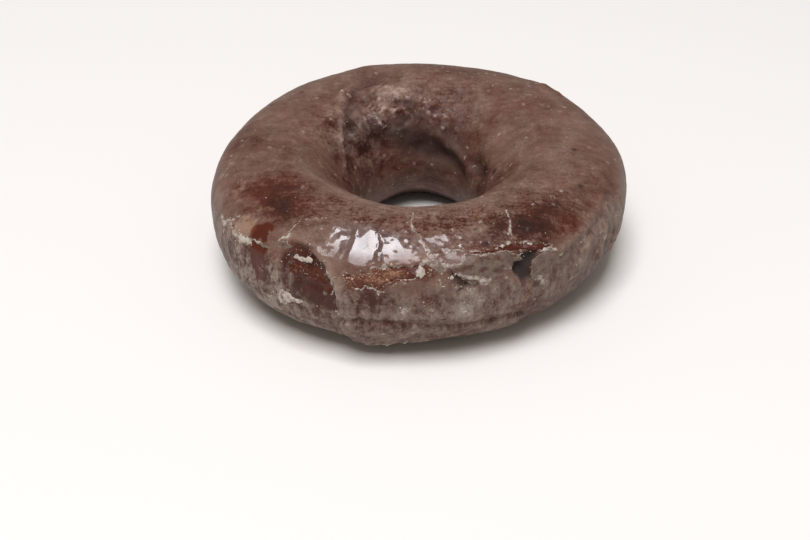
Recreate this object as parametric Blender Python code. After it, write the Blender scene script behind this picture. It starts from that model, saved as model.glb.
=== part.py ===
"""A chocolate glazed ring doughnut as one solid, in metres with +Z up.

The ring lies on its flat underside, and the origin is on that plane, under the middle of its box.
A cut through the ring is a squarish round, fuller at the outside than at the hole. On it lie the
larger marks of the glaze: the crack round the front shoulder, bare panels where plates of glaze
broke away, a torn flap with a hollow beside it, and a foot of glaze that ran down and set.

A place on the ring has two angles. The azimuth goes round the ring, with 0 at +X and -90 at the
front. The section angle goes round the cut, with 0 at the outside, 90 on top and 180 at the hole.
"""

import math

import bpy
from mathutils import Vector, noise

# Driving sizes, in metres. The heights are over the plane that the ring lies on, and the round of
# the cut reaches a little below that plane, which makes the underside flat
OUTER_DIAMETER = 0.0900
HOLE_DIAMETER = 0.0235
HEIGHT = 0.0268
WIDEST_AT = 0.0147
NARROWEST_AT = 0.0069
BASE_FLAT = 0.0005

# How square each quarter of the cut is, where 2 gives an ellipse
OUTER_TOP_SQUARENESS = 2.9
OUTER_BASE_SQUARENESS = 2.2
INNER_TOP_SQUARENESS = 1.75
INNER_BASE_SQUARENESS = 2.9

# Waves that make the ring uneven: how many go round, how high in metres, and where one crests
RIM_WAVES = ((2, 0.00132, 22), (3, 0.00055, -6), (4, 0.00025, 40), (5, 0.00018, -10))
HOLE_WAVES = ((1, 0.00110, -66), (2, 0.00030, 0), (3, 0.00030, 42))
CREST_WAVES = ((1, 0.00036, 49), (2, 0.00046, 82))

# Lumps all over the dough, and the rougher ones on the back wall of the hole, in metres
LUMP_SPACING = 0.011
LUMP_HEIGHT = 0.00035
CRAG_SPACING = 0.0060
CRAG_HEIGHT = 0.0014
CRAG_AZIMUTH = 105
CRAG_AZIMUTH_REACH = 62
CRAG_SECTION = 122
CRAG_SECTION_REACH = 38

# The crack round the front shoulder. It starts and ends at these azimuths, runs at this section
# angle, and rises or dips along its way: where, over how many degrees, and by how many degrees
CRACK_FROM = -166
CRACK_TO = -38
CRACK_FADE = 8
CRACK_SECTION = 36
CRACK_RISES = ((-70, 22, 14), (-113, 8, -10), (-127, 6, 6), (-168, 9, -10))
CRACK_DEPTH = 0.0008
CRACK_HALF_WIDTH = 0.0012

# Round marks: azimuth and section angle in degrees, half length round the ring, half length up the
# wall and height over the dough in metres. A mark with a height below zero is a dent. The higher
# the edge power, the steeper their sides
MARKS = (
    ("big bare panel", -118.5, 23, 0.0060, 0.0062, -0.0008),
    ("narrow bare panel", -134.5, 13, 0.0020, 0.0052, -0.0006),
    ("oval bare spot", -138, 48, 0.0034, 0.0018, -0.0006),
    ("torn flap", -73, 40, 0.0072, 0.0024, 0.0008),
    ("hollow beside the flap", -61, 33, 0.0019, 0.0036, -0.0018),
    ("end of the flap", -53, 37, 0.0038, 0.0018, 0.0006),
    ("dent under the flap", -52, 14, 0.0035, 0.0040, -0.0006),
    ("dent on the front wall", -88, 12, 0.0060, 0.0045, -0.0005),
    ("dent on the right wall", -26, 14, 0.0060, 0.0040, -0.0006),
    ("dent on the left wall", -158, 8, 0.0055, 0.0045, -0.0005),
    ("dent on the back wall", 62, 10, 0.0080, 0.0050, -0.0007),
    ("foot of glaze", -103, -26, 0.0062, 0.0046, 0.0006),
    ("lip of the foot", -104, -47, 0.0052, 0.0026, 0.0008),
    ("ledge over the base", -84, -12, 0.0130, 0.0016, 0.0004),
    ("blister at the back left", 109, 52, 0.0024, 0.0020, 0.0009),
    ("blister at the back right", 43.5, 50, 0.0024, 0.0020, 0.0011),
    ("soft rib down the hole", 34, 140, 0.0024, 0.0070, 0.0009),
    ("fold at the left of the hole", 150, 118, 0.0022, 0.0075, 0.0008),
    ("dip at the left of the hole", -168, 118, 0.0050, 0.0050, -0.0009),
)
MARK_EDGE_POWER = 4

# How many faces go round the ring and round its cut, and how much closer they lie where the glaze
# is broken: at the front of the ring, and at the shoulder of the cut
FACES_ROUND_RING = 140
FACES_ROUND_CUT = 38
FRONT_CLOSENESS = 0.28
SHOULDER_CLOSENESS = 0.30
SHOULDER_AT = 38

# The finish
GLAZE_COLOUR = (0.150, 0.075, 0.055, 1.0)
GLAZE_ROUGHNESS = 0.34


def degrees_between(angle, other):
    """The turn from one angle to another, in degrees from -180 to 180."""
    return (angle - other + 180) % 360 - 180


def hump(distance, reach):
    """1 at no distance, falling smoothly to nearly nothing past the reach."""
    return math.exp(-((distance / reach) ** 2))


def plateau(distance):
    """1 on a patch out to a distance of 1, falling fast to 0 past it."""
    return 1 / (1 + distance**MARK_EDGE_POWER)


def waves(rows, azimuth):
    """The sum of waves round the ring, at an azimuth in degrees."""
    return sum(height * math.cos(count * math.radians(azimuth - crest)) for count, height, crest in rows)


def squareness(outside, above):
    """The exponent of the quarter of the cut that a point is in."""
    if above:
        return OUTER_TOP_SQUARENESS if outside else INNER_TOP_SQUARENESS
    return OUTER_BASE_SQUARENESS if outside else INNER_BASE_SQUARENESS


def section_point(azimuth, section):
    """Radius and height of the smooth dough at an azimuth and a section angle, in degrees."""
    across = math.cos(math.radians(section))
    up = math.sin(math.radians(section))
    power = squareness(across > 0, up > 0)
    stretch = (abs(across) ** power + abs(up) ** power) ** (-1 / power)
    rim = OUTER_DIAMETER / 2 + waves(RIM_WAVES, azimuth)
    hole = HOLE_DIAMETER / 2 + waves(HOLE_WAVES, azimuth)
    crest = HEIGHT + waves(CREST_WAVES, azimuth)
    middle = WIDEST_AT if across > 0 else NARROWEST_AT
    radius = (rim + hole) / 2 + (rim - hole) / 2 * across * stretch
    half_height = crest - middle if up > 0 else middle + BASE_FLAT
    return radius, middle + half_height * up * stretch


def place(azimuth, section):
    """The point of the smooth dough at an azimuth and a section angle."""
    radius, height = section_point(azimuth, section)
    turn = math.radians(azimuth)
    return Vector((radius * math.cos(turn), radius * math.sin(turn), height))


def outward(azimuth, section):
    """The direction that leaves the smooth dough squarely, from two half-degree steps along it."""
    step = 0.5
    along = place(azimuth + step, section) - place(azimuth - step, section)
    up = place(azimuth, section + step) - place(azimuth, section - step)
    return along.cross(up).normalized()


def crack_section(azimuth):
    """The section angle at which the crack runs, at an azimuth."""
    rises = sum(rise * hump(degrees_between(azimuth, at), reach) for at, reach, rise in CRACK_RISES)
    return CRACK_SECTION + rises


def crack(azimuth, section, cut_radius):
    """How deep the crack is at a place."""
    past_start = (azimuth - CRACK_FROM) / CRACK_FADE
    before_end = (CRACK_TO - azimuth) / CRACK_FADE
    strength = min(max(min(past_start, before_end), 0), 1)
    distance = math.radians(degrees_between(section, crack_section(azimuth))) * cut_radius
    return strength * CRACK_DEPTH * hump(distance, CRACK_HALF_WIDTH)


def marks(azimuth, section, ring_radius, cut_radius):
    """The height of all round marks at a place."""
    total = 0
    for _, at, section_at, half_length, half_height, height in MARKS:
        along = math.radians(degrees_between(azimuth, at)) * ring_radius / half_length
        up = math.radians(degrees_between(section, section_at)) * cut_radius / half_height
        total += height * plateau(math.hypot(along, up))
    return total


def lumps(point, azimuth, section):
    """The uneven dough under the glaze: low lumps all over, crags on the back wall of the hole."""
    low = LUMP_HEIGHT * noise.noise(point / LUMP_SPACING)
    round_ring = hump(degrees_between(azimuth, CRAG_AZIMUTH), CRAG_AZIMUTH_REACH)
    round_cut = hump(degrees_between(section, CRAG_SECTION), CRAG_SECTION_REACH)
    rough = CRAG_HEIGHT * noise.noise(point / CRAG_SPACING)
    return low + rough * round_ring * round_cut


def surface_point(azimuth, section):
    """The point of the finished solid at an azimuth and a section angle."""
    point = place(azimuth, section)
    ring_radius = math.hypot(point.x, point.y)
    cut_radius = (point - place(azimuth, section + 180)).length / 2
    height = marks(azimuth, section, ring_radius, cut_radius)
    height += lumps(point, azimuth, section)
    height -= crack(azimuth, section, cut_radius)
    moved = point + outward(azimuth, section) * height
    moved.z = max(moved.z, 0)
    return moved


def spread_azimuth(azimuth):
    """Moves evenly spaced azimuths closer together at the front."""
    shift = math.degrees(FRONT_CLOSENESS * math.cos(math.radians(azimuth)))
    return degrees_between(azimuth - shift, 0)


def spread_section(section):
    """Moves evenly spaced section angles closer together at the shoulder."""
    turn = math.radians(2 * (section - SHOULDER_AT))
    return section - math.degrees(SHOULDER_CLOSENESS * math.sin(turn)) / 2


def centre_on_box(mesh):
    """Moves a mesh so that the middle of its box is over the origin."""
    across = [vertex.co.x for vertex in mesh.vertices]
    along = [vertex.co.y for vertex in mesh.vertices]
    middle = Vector((max(across) + min(across), max(along) + min(along), 0)) / 2
    for vertex in mesh.vertices:
        vertex.co -= middle


def make_doughnut():
    """A torus whose points are moved onto the doughnut's surface."""
    major = (OUTER_DIAMETER + HOLE_DIAMETER) / 4
    minor = (OUTER_DIAMETER - HOLE_DIAMETER) / 4
    bpy.ops.mesh.primitive_torus_add(
        major_segments=FACES_ROUND_RING,
        minor_segments=FACES_ROUND_CUT,
        major_radius=major,
        minor_radius=minor,
    )
    doughnut = bpy.context.object
    doughnut.name = "doughnut"
    doughnut.data.name = "doughnut"
    for vertex in doughnut.data.vertices:
        azimuth = math.degrees(math.atan2(vertex.co.y, vertex.co.x))
        outside = math.hypot(vertex.co.x, vertex.co.y) - major
        section = math.degrees(math.atan2(vertex.co.z, outside))
        vertex.co = surface_point(spread_azimuth(azimuth), spread_section(section))
    centre_on_box(doughnut.data)
    doughnut.data.shade_smooth()
    return doughnut


def make_glaze_material():
    """Dark milky chocolate glaze."""
    material = bpy.data.materials.new("chocolate_glaze")
    material.use_nodes = True
    shader = material.node_tree.nodes["Principled BSDF"]
    shader.inputs["Base Color"].default_value = GLAZE_COLOUR
    shader.inputs["Roughness"].default_value = GLAZE_ROUGHNESS
    shader.inputs["Metallic"].default_value = 0.0
    material.diffuse_color = GLAZE_COLOUR
    return material


def clear_scene():
    """Removes what the scene holds."""
    for item in list(bpy.data.objects):
        bpy.data.objects.remove(item, do_unlink=True)


def put_in_collection(item, name):
    """Moves an object to a collection of its own."""
    collection = bpy.data.collections.new(name)
    bpy.context.scene.collection.children.link(collection)
    for old in list(item.users_collection):
        old.objects.unlink(item)
    collection.objects.link(item)


def main():
    clear_scene()
    doughnut = make_doughnut()
    doughnut.data.materials.append(make_glaze_material())
    put_in_collection(doughnut, "chocolate_glazed_doughnut")


main()
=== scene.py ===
# %% [markdown]
# A chocolate glazed ring doughnut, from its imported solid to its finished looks.
# The real one is a ring of fried yeast dough that went under a curtain of thin chocolate sugar
# glaze. The glaze dried to a skin about half a millimetre thick, dull and milky where it lies
# smooth, glossy where it pooled, and cracked round the front shoulder, where plates of it broke
# away and bare the reddish brown crust.
# The solid has the true size and the main forms. This script reads nothing but that solid, and
# makes three kinds of thing round it: the crust, the glaze over it, and the loose bits of glaze
# and crumb that lie on both.

# %% Load the solid
import math
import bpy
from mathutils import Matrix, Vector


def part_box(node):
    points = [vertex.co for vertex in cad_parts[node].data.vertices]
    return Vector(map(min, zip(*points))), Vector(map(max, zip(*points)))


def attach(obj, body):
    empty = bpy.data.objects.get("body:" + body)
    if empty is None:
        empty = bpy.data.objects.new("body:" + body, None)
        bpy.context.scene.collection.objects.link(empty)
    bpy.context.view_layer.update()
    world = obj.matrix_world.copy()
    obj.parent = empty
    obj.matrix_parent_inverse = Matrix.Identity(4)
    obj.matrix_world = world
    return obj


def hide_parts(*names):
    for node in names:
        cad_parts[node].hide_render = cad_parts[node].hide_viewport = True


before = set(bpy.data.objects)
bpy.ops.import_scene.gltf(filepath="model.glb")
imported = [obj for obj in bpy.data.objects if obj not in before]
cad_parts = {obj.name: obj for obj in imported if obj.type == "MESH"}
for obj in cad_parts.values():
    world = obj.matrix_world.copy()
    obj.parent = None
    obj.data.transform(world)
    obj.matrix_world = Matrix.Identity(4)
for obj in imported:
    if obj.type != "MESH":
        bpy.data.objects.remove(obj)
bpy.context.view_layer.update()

from types import SimpleNamespace

import bmesh
import bpy
import numpy as np
from mathutils import Vector, geometry, noise
from mathutils.bvhtree import BVHTree

LOW, HIGH = (np.array(corner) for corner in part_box("doughnut"))
print("the solid's box in millimetres:", (LOW * 1000).round(2), (HIGH * 1000).round(2))

# %% [markdown]
# Places on a ring.
# Every mark on the doughnut is told by two angles, as a sailor tells a place on the globe. The
# azimuth goes round the ring, with 0 at the right and -90 at the front. The section angle goes
# round the cut of the dough, with 0 at the outside, 90 on top and 180 at the hole. Both are
# measured from a circle that runs inside the dough. Marks on the front could be placed by their
# three coordinates instead, but then each would need a new height when the dough changes.
# Lengths of marks are in millimetres, because that is how a baker would measure them.

# %% The circle inside the dough, and how long a degree is at the front shoulder
MM = 0.001
RING_RADIUS = 28.5
RING_HEIGHT = 12.5
SHOULDER_RADIUS = 44.0
CUT_RADIUS = 16.8
ROUND_PER_DEGREE = math.radians(SHOULDER_RADIUS)
CUT_PER_DEGREE = math.radians(CUT_RADIUS)
SECTION_WRAP = -142
FRONT = -90


def to_chart(azimuth, section):
    """Places told by angles, laid out flat: millimetres round the ring from the front, and up."""
    round_ring = (np.asarray(azimuth) - FRONT + 180) % 360 - 180
    return np.stack([round_ring * ROUND_PER_DEGREE, np.asarray(section) * CUT_PER_DEGREE], -1)


def angles_of(points):
    """Azimuth and section angle of points in millimetres."""
    azimuth = np.degrees(np.arctan2(points[:, 1], points[:, 0]))
    across = np.hypot(points[:, 0], points[:, 1]) - RING_RADIUS
    section = np.degrees(np.arctan2(points[:, 2] - RING_HEIGHT, across))
    return azimuth, np.where(section < SECTION_WRAP, section + 360, section)


print("one degree, in millimetres: round", round(ROUND_PER_DEGREE, 3), "up", round(CUT_PER_DEGREE, 3))

# %% [markdown]
# The camera, the floor and the light.
# The photograph was taken from the front and a good third of the way up, with a slightly long
# lens. The camera's distance, height and lens were worked out from the outline of the ring, so
# the camera needs no shift. The light is a large soft box overhead and a little to the
# left, which the glossy plates of the glaze mirror, in a white room that fills the shadows.

# %% Camera
CAMERA_ELEVATION = 35.497
CAMERA_DISTANCE = 0.281664
CAMERA_AIM = Vector((-0.003174, -0.010915, 0.0))
LENS = 54.16
SENSOR = 36.0


def add_camera():
    """A camera in front of the doughnut that looks down on it."""
    data = bpy.data.cameras.new("camera")
    data.lens = LENS
    data.sensor_width = SENSOR
    data.sensor_fit = "HORIZONTAL"
    data.clip_start = 0.01
    camera = bpy.data.objects.new("camera", data)
    rise = math.radians(CAMERA_ELEVATION)
    camera.location = Vector((0, -math.cos(rise), math.sin(rise))) * CAMERA_DISTANCE
    camera.rotation_euler = (CAMERA_AIM - camera.location).to_track_quat("-Z", "Y").to_euler()
    bpy.context.scene.collection.objects.link(camera)
    bpy.context.scene.camera = camera
    return camera


print("camera at", tuple(round(value, 4) for value in add_camera().location))

# %% Floor and light
FLOOR_SIDE = 6.0
FLOOR_COLOUR = (0.93, 0.910, 0.868, 1.0)
ROOM_COLOUR = (1.0, 0.955, 0.89)
ROOM_STRENGTH = 0.27
SOFT_BOX_SIDES = (0.63, 0.81)
SOFT_BOX_PLACE = Vector((-0.12, -0.345, 1.305))
SOFT_BOX_POWER = 17.2
SOFT_BOX_COLOUR = (1.0, 0.985, 1.03)


def add_floor():
    """A wide plain floor under the doughnut."""
    bpy.ops.mesh.primitive_plane_add(size=FLOOR_SIDE)
    floor = bpy.context.object
    floor.name = "floor"
    material = bpy.data.materials.new("pale floor")
    material.use_nodes = True
    shader = material.node_tree.nodes["Principled BSDF"]
    shader.inputs["Base Color"].default_value = FLOOR_COLOUR
    shader.inputs["Roughness"].default_value = 0.55
    floor.data.materials.append(material)


def add_soft_box():
    """A large lamp overhead, whose mirror image is the bright plates of glaze."""
    data = bpy.data.lights.new("soft box", "AREA")
    data.shape = "RECTANGLE"
    data.size, data.size_y = SOFT_BOX_SIDES
    data.energy = SOFT_BOX_POWER
    data.color = SOFT_BOX_COLOUR
    lamp = bpy.data.objects.new("soft box", data)
    lamp.location = SOFT_BOX_PLACE
    lamp.rotation_euler = (-SOFT_BOX_PLACE).to_track_quat("-Z", "Y").to_euler()
    bpy.context.scene.collection.objects.link(lamp)


def set_room():
    """A plain white room all round."""
    world = bpy.data.worlds.new("room")
    world.use_nodes = True
    background = world.node_tree.nodes["Background"]
    background.inputs["Color"].default_value = (*ROOM_COLOUR, 1.0)
    background.inputs["Strength"].default_value = ROOM_STRENGTH
    bpy.context.scene.world = world
    bpy.context.scene.view_settings.view_transform = "Standard"


add_floor()
add_soft_box()
set_room()
print("soft box of", SOFT_BOX_SIDES, "metres, at", tuple(SOFT_BOX_PLACE))

# %% [markdown]
# Node maths in Python.
# Both the shapes and the finishes below are made with nodes. Written link by link, a formula of ten
# terms takes thirty lines. So one small class stands for the output of a node: its operators add
# Math or Vector Math nodes, and its method node adds a node of any other type. The same class
# serves shader trees and Geometry Nodes, because their sockets work alike.


# %% A wire between nodes
class Wire:
    """The output of a node, on which Python's operators add nodes to the same tree."""

    def __init__(self, tree, socket=None):
        self.tree = tree
        self.socket = socket

    def node(self, kind, settings=None, values=None, out=0):
        """Adds a node: its type, its settings, its inputs' values or wires, and the output to keep."""
        made = self.tree.nodes.new(kind)
        for name, value in (settings or {}).items():
            setattr(made, name, value)
        for key, value in (values or {}).items():
            self.put(made.inputs[key], value)
        return Wire(self.tree, made.outputs[out])

    def put(self, socket, value):
        """Gives an input a wire or a plain value. A number fills all parts of a vector."""
        if isinstance(value, Wire):
            self.tree.links.new(value.socket, socket)
        elif socket.type == "VECTOR" and isinstance(value, (int, float)):
            socket.default_value = (value, value, value)
        else:
            socket.default_value = value

    def out(self, key):
        """Another output of the same node."""
        return Wire(self.tree, self.socket.node.outputs[key])

    def maths(self, operation, *terms):
        """A Math node, or a Vector Math node where one of the terms is a vector."""
        kinds = [term.socket.type if isinstance(term, Wire) else type(term).__name__ for term in terms]
        vectors = any(kind in ("VECTOR", "RGBA", "tuple") for kind in kinds)
        kind = "ShaderNodeVectorMath" if vectors else "ShaderNodeMath"
        return self.node(kind, {"operation": operation}, dict(enumerate(terms)))

    def __add__(self, other):
        return self.maths("ADD", self, other)

    def __sub__(self, other):
        return self.maths("SUBTRACT", self, other)

    def __rsub__(self, other):
        return self.maths("SUBTRACT", other, self)

    def __mul__(self, other):
        return self.maths("MULTIPLY", self, other)

    def __truediv__(self, other):
        return self.maths("DIVIDE", self, other)

    __radd__ = __add__
    __rmul__ = __mul__

    def rise(self, low, high):
        """0 up to the low value, 1 from the high value on, with a smooth rise between them."""
        settings = {"interpolation_type": "SMOOTHSTEP"}
        return self.node("ShaderNodeMapRange", settings, {"Value": self, "From Min": low, "From Max": high})

    def limited(self):
        """The same value, kept between 0 and 1."""
        return self.maths("MINIMUM", self.maths("MAXIMUM", self, 0.0), 1.0)

    def cloud(self, size, detail=2.0, roughness=0.5):
        """Noise from 0 to 1 round this place, with lumps about as large as the size."""
        values = {"Vector": self, "Scale": 1 / size, "Detail": detail, "Roughness": roughness}
        return self.node("ShaderNodeTexNoise", {}, values)

    def mixed(self, first, second):
        """Two colours mixed by this share."""
        return self.node("ShaderNodeMix", {"data_type": "RGBA"}, {0: self, 6: first, 7: second}, out=2)


print("wires ready")

# %% [markdown]
# The ring itself.
# The crust and the glaze are the same closed ring at two depths, and each needs about a hundred
# thousand vertices, closer together at the front, where the glaze is broken. A subdivided copy of
# the solid would do, but its triangles run the wrong way for streaks and cracks. So Geometry Nodes
# bend a grid round the ring, throw a ray from the inner circle through each of its points to the
# solid, and blur the lengths of the rays, which takes away the solid's flat faces and keeps its
# form. The grid's closeness at the front and at the shoulder is an input, as are its face counts.


# %% Trees with named inputs
def new_tree(name, inputs):
    """An empty Geometry Nodes tree with these inputs, and the wires that come from them."""
    tree = bpy.data.node_groups.new(name, "GeometryNodeTree")
    tree.interface.new_socket("Geometry", in_out="INPUT", socket_type="NodeSocketGeometry")
    for label, kind in inputs.items():
        tree.interface.new_socket(label, in_out="INPUT", socket_type="NodeSocket" + kind)
    tree.interface.new_socket("Geometry", in_out="OUTPUT", socket_type="NodeSocketGeometry")
    group = tree.nodes.new("NodeGroupInput")
    return tree, {socket.name: Wire(tree, socket) for socket in group.outputs if socket.name}


def end_tree(shape, material):
    """Ends a tree in real faces that carry the material."""
    real = shape.node("GeometryNodeRealizeInstances", {}, {"Geometry": shape})
    painted = shape.node("GeometryNodeSetMaterial", {}, {"Geometry": real, "Material": material})
    output = shape.tree.nodes.new("NodeGroupOutput")
    shape.tree.links.new(painted.socket, output.inputs[0])


def run_tree(name, mesh, tree, values):
    """Runs a tree on a mesh, and returns the outcome as an object with a plain mesh."""
    carrier = bpy.data.objects.new("carrier", mesh)
    bpy.context.scene.collection.objects.link(carrier)
    modifier = carrier.modifiers.new("tree", "NODES")
    modifier.node_group = tree
    for item in tree.interface.items_tree:
        if item.in_out == "INPUT" and item.name in values:
            modifier[item.identifier] = values[item.name]
    graph = bpy.context.evaluated_depsgraph_get()
    made = bpy.data.meshes.new_from_object(carrier.evaluated_get(graph))
    bpy.data.objects.remove(carrier)
    made.name = name
    piece = bpy.data.objects.new(name, made)
    bpy.context.scene.collection.objects.link(piece)
    return piece


# %% The tree that wraps a ring round the solid
RING_INPUTS = {
    "Faces Round Ring": "Int",
    "Faces Round Cut": "Int",
    "Front Closeness": "Float",
    "Shoulder Closeness": "Float",
    "Shoulder At": "Float",
    "Smoothing Passes": "Int",
    "Lump Height": "Float",
    "Material": "Material",
}
FULL_TURN = 2 * math.pi
WELD = 1e-6
RAY_LENGTH = 0.05
# The torus that the rays start from: its thickness beside its radius
TORUS_SHARE = 0.1


def bend_grid(given):
    """A grid bent to a thin torus round the inner circle, with its seams welded."""
    start = given["Geometry"]
    counts = {"Vertices X": given["Faces Round Ring"] + 1, "Vertices Y": given["Faces Round Cut"] + 1}
    grid = start.node("GeometryNodeMeshGrid", {}, {"Size X": 1.0, "Size Y": 1.0, **counts})
    flat = start.node("ShaderNodeSeparateXYZ", {}, {0: start.node("GeometryNodeInputPosition")})
    lap = (flat + 0.5) * FULL_TURN
    azimuth = lap - given["Front Closeness"] * lap.maths("COSINE", lap)
    rise = (flat.out(1) + 0.5) * FULL_TURN
    section = rise - given["Shoulder Closeness"] * rise.maths("SINE", rise - given["Shoulder At"])
    across = azimuth.maths("COSINE", section) * TORUS_SHARE + 1.0
    parts = {
        0: azimuth.maths("COSINE", azimuth) * across,
        1: azimuth.maths("SINE", azimuth) * across,
        2: section.maths("SINE", section) * TORUS_SHARE,
    }
    bent = start.node("ShaderNodeCombineXYZ", {}, parts) * (RING_RADIUS * MM)
    bent = bent + (0.0, 0.0, RING_HEIGHT * MM)
    moved = start.node("GeometryNodeSetPosition", {}, {"Geometry": grid, "Position": bent})
    return start.node("GeometryNodeMergeByDistance", {}, {"Geometry": moved, "Distance": WELD})


def throw_rays(given, torus):
    """Moves each point of the torus out to the solid, by a ray length blurred over its neighbours."""
    start = given["Geometry"]
    place = start.node("GeometryNodeInputPosition")
    level = place * (1.0, 1.0, 0.0)
    circle = level.maths("NORMALIZE", level) * (RING_RADIUS * MM) + (0.0, 0.0, RING_HEIGHT * MM)
    outward = place.maths("NORMALIZE", place - circle)
    ray = {"Source Position": circle, "Ray Direction": outward, "Ray Length": RAY_LENGTH}
    ray["Target Geometry"] = start
    length = start.node("GeometryNodeRaycast", {}, ray, out="Hit Distance")
    blur = {"Value": length, "Iterations": given["Smoothing Passes"], "Weight": 1.0}
    smooth = start.node("GeometryNodeBlurAttribute", {"data_type": "FLOAT"}, blur)
    spot = circle + outward * smooth
    return start.node("GeometryNodeSetPosition", {}, {"Geometry": torus, "Position": spot})


def ring_tree(name):
    """The whole tree of a ring: bent grid, rays, stored place and low lumps."""
    tree, given = new_tree(name, RING_INPUTS)
    shape = throw_rays(given, bend_grid(given))
    place = shape.node("GeometryNodeInputPosition") / MM
    named = {"Geometry": shape, "Name": "rest", "Value": place}
    shape = shape.node("GeometryNodeStoreNamedAttribute", {"data_type": "FLOAT_VECTOR"}, named)
    lumps = place.cloud(3.2, 3.0, 0.55) + place.cloud(0.9, 2.0) * 0.25 - 0.625
    push = shape.node("GeometryNodeInputNormal") * (lumps * given["Lump Height"])
    shape = shape.node("GeometryNodeSetPosition", {}, {"Geometry": shape, "Offset": push})
    smooth = shape.node("GeometryNodeSetShadeSmooth", {}, {"Geometry": shape})
    end_tree(smooth, given["Material"])
    return tree


def solid_copy():
    """The solid's mesh with its loose triangles merged."""
    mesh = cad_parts["doughnut"].data.copy()
    merged = bmesh.new()
    merged.from_mesh(mesh)
    bmesh.ops.remove_doubles(merged, verts=merged.verts, dist=WELD)
    merged.to_mesh(mesh)
    merged.free()
    return mesh


# %% [markdown]
# The finish of the glaze.
# Dried chocolate sugar glaze is a dark red brown that looks dusted with grey, because sugar
# crystals at its surface scatter the light. The dust is thin on top and thick on the walls. Fine
# streaks run the way the ring moved under the curtain of glaze, from side to side. A picture of a
# real glaze could be laid on, but it would stretch round the ring, so the colour is worked out from
# clouds of noise at several sizes, and from marks that the mesh carries: how far each point is from
# a broken edge and from a crack, and how thin the glaze is. Where a plate came off and left only a
# film, as on the wide panel at the left of the front, the red crust shows through the film. Some
# light and shade is painted into the colour as well: painted shade in the hole, the hollows, the
# crease and under the foot, a painted lilac sheen round the glossy plates, and painted glints on
# the crests in the hole and among the specks at the front.

# %% Colours
GLAZE_DARK = (0.070, 0.022, 0.013, 1.0)
GLAZE_RED = (0.100, 0.024, 0.012, 1.0)
GLAZE_CREAM = (0.300, 0.198, 0.152, 1.0)
GLAZE_MILK = (0.302, 0.240, 0.198, 1.0)
# Deep clear glaze; the same colour is laid over deep places as painted shade
GLAZE_DEEP_AND_SHADE = (0.024, 0.010, 0.008, 1.0)
DEEP_RED = (0.042, 0.010, 0.006, 1.0)
# A painted sheen of the soft box round the glossy plates
PAINTED_SHEEN_LILAC = (0.150, 0.110, 0.112, 1.0)
SUGAR_WHITE = (0.560, 0.490, 0.420, 1.0)
CRUST_RED = (0.082, 0.014, 0.006, 1.0)
CRUST_DARK = (0.056, 0.018, 0.013, 1.0)
THIN_RED = (0.084, 0.017, 0.008, 1.0)
CRUST_ORANGE = (0.180, 0.062, 0.030, 1.0)
CRUMB_BROWN = (0.165, 0.056, 0.032, 1.0)
CRUMB_ORANGE = (0.450, 0.225, 0.135, 1.0)
CRUMB_PALE = (0.480, 0.320, 0.235, 1.0)
FLAP_BEIGE = (0.178, 0.127, 0.092, 1.0)
SUGAR_PEACH = (0.330, 0.205, 0.140, 1.0)
# Painted glints on the crests of the folds in the hole
PAINTED_GLINT_PINK = (0.460, 0.335, 0.300, 1.0)
# Painted shade in the hollows beside the flap
PAINTED_HOLLOW_SHADE = (0.036, 0.029, 0.028, 1.0)


def new_material(name):
    """A material, its shader, and a wire to start from."""
    material = bpy.data.materials.new(name)
    material.use_nodes = True
    return material, material.node_tree.nodes["Principled BSDF"], Wire(material.node_tree)


def mark(start, name, out="Fac"):
    """A mark that the mesh carries."""
    return start.node("ShaderNodeAttribute", {"attribute_name": name}, out=out)


def feed(shader, values):
    """Gives the shader's inputs their wires or values."""
    start = Wire(shader.id_data)
    for name, value in values.items():
        start.put(shader.inputs[name], value)


def bumped(height):
    """A normal tilted by a height in millimetres."""
    return height.node("ShaderNodeBump", {}, {"Height": height, "Strength": 1.0, "Distance": MM})


# %% Noises and marks of the glaze
GLAZE_MARKS = (
    "bare", "busy", "calm", "crack", "crest_and_glint", "crust_warm", "crusted", "deep", "gloss", "haze", "hollow",
    "milk", "mottled", "panel", "red", "soft", "thin", "torn", "vein", "wall", "warm",
)


def glaze_noises(place):
    """The noises that several parts of the glaze's finish share."""
    return SimpleNamespace(
        streak=(place * (0.16, 1.0, 0.55)).cloud(0.85, 5.0, 0.62),
        smear=(place * (1.0, 1.0, 0.38)).cloud(1.3, 5.0, 0.66),
        patch=place.cloud(3.2, 6.0, 0.68),
        fine=(place + 44.0).cloud(0.75, 4.0, 0.65) - 0.5,
        grain=place.cloud(0.32, 3.0, 0.6),
        ragged=place.cloud(0.8, 4.0, 0.65) - 0.5,
    )


def specks(place, size, share, seed):
    """Small round spots, a few of them to each patch: 1 at their middle."""
    settings = {"feature": "F1", "voronoi_dimensions": "3D"}
    cell = place.node("ShaderNodeTexVoronoi", settings, {"Vector": place + seed, "Scale": 1 / size})
    pick = place.node("ShaderNodeSeparateColor", {}, {0: cell.out("Color")})
    return (1 - cell.rise(0.10, 0.34)) * pick.rise(1 - share, 1 - share + 0.02)


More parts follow.
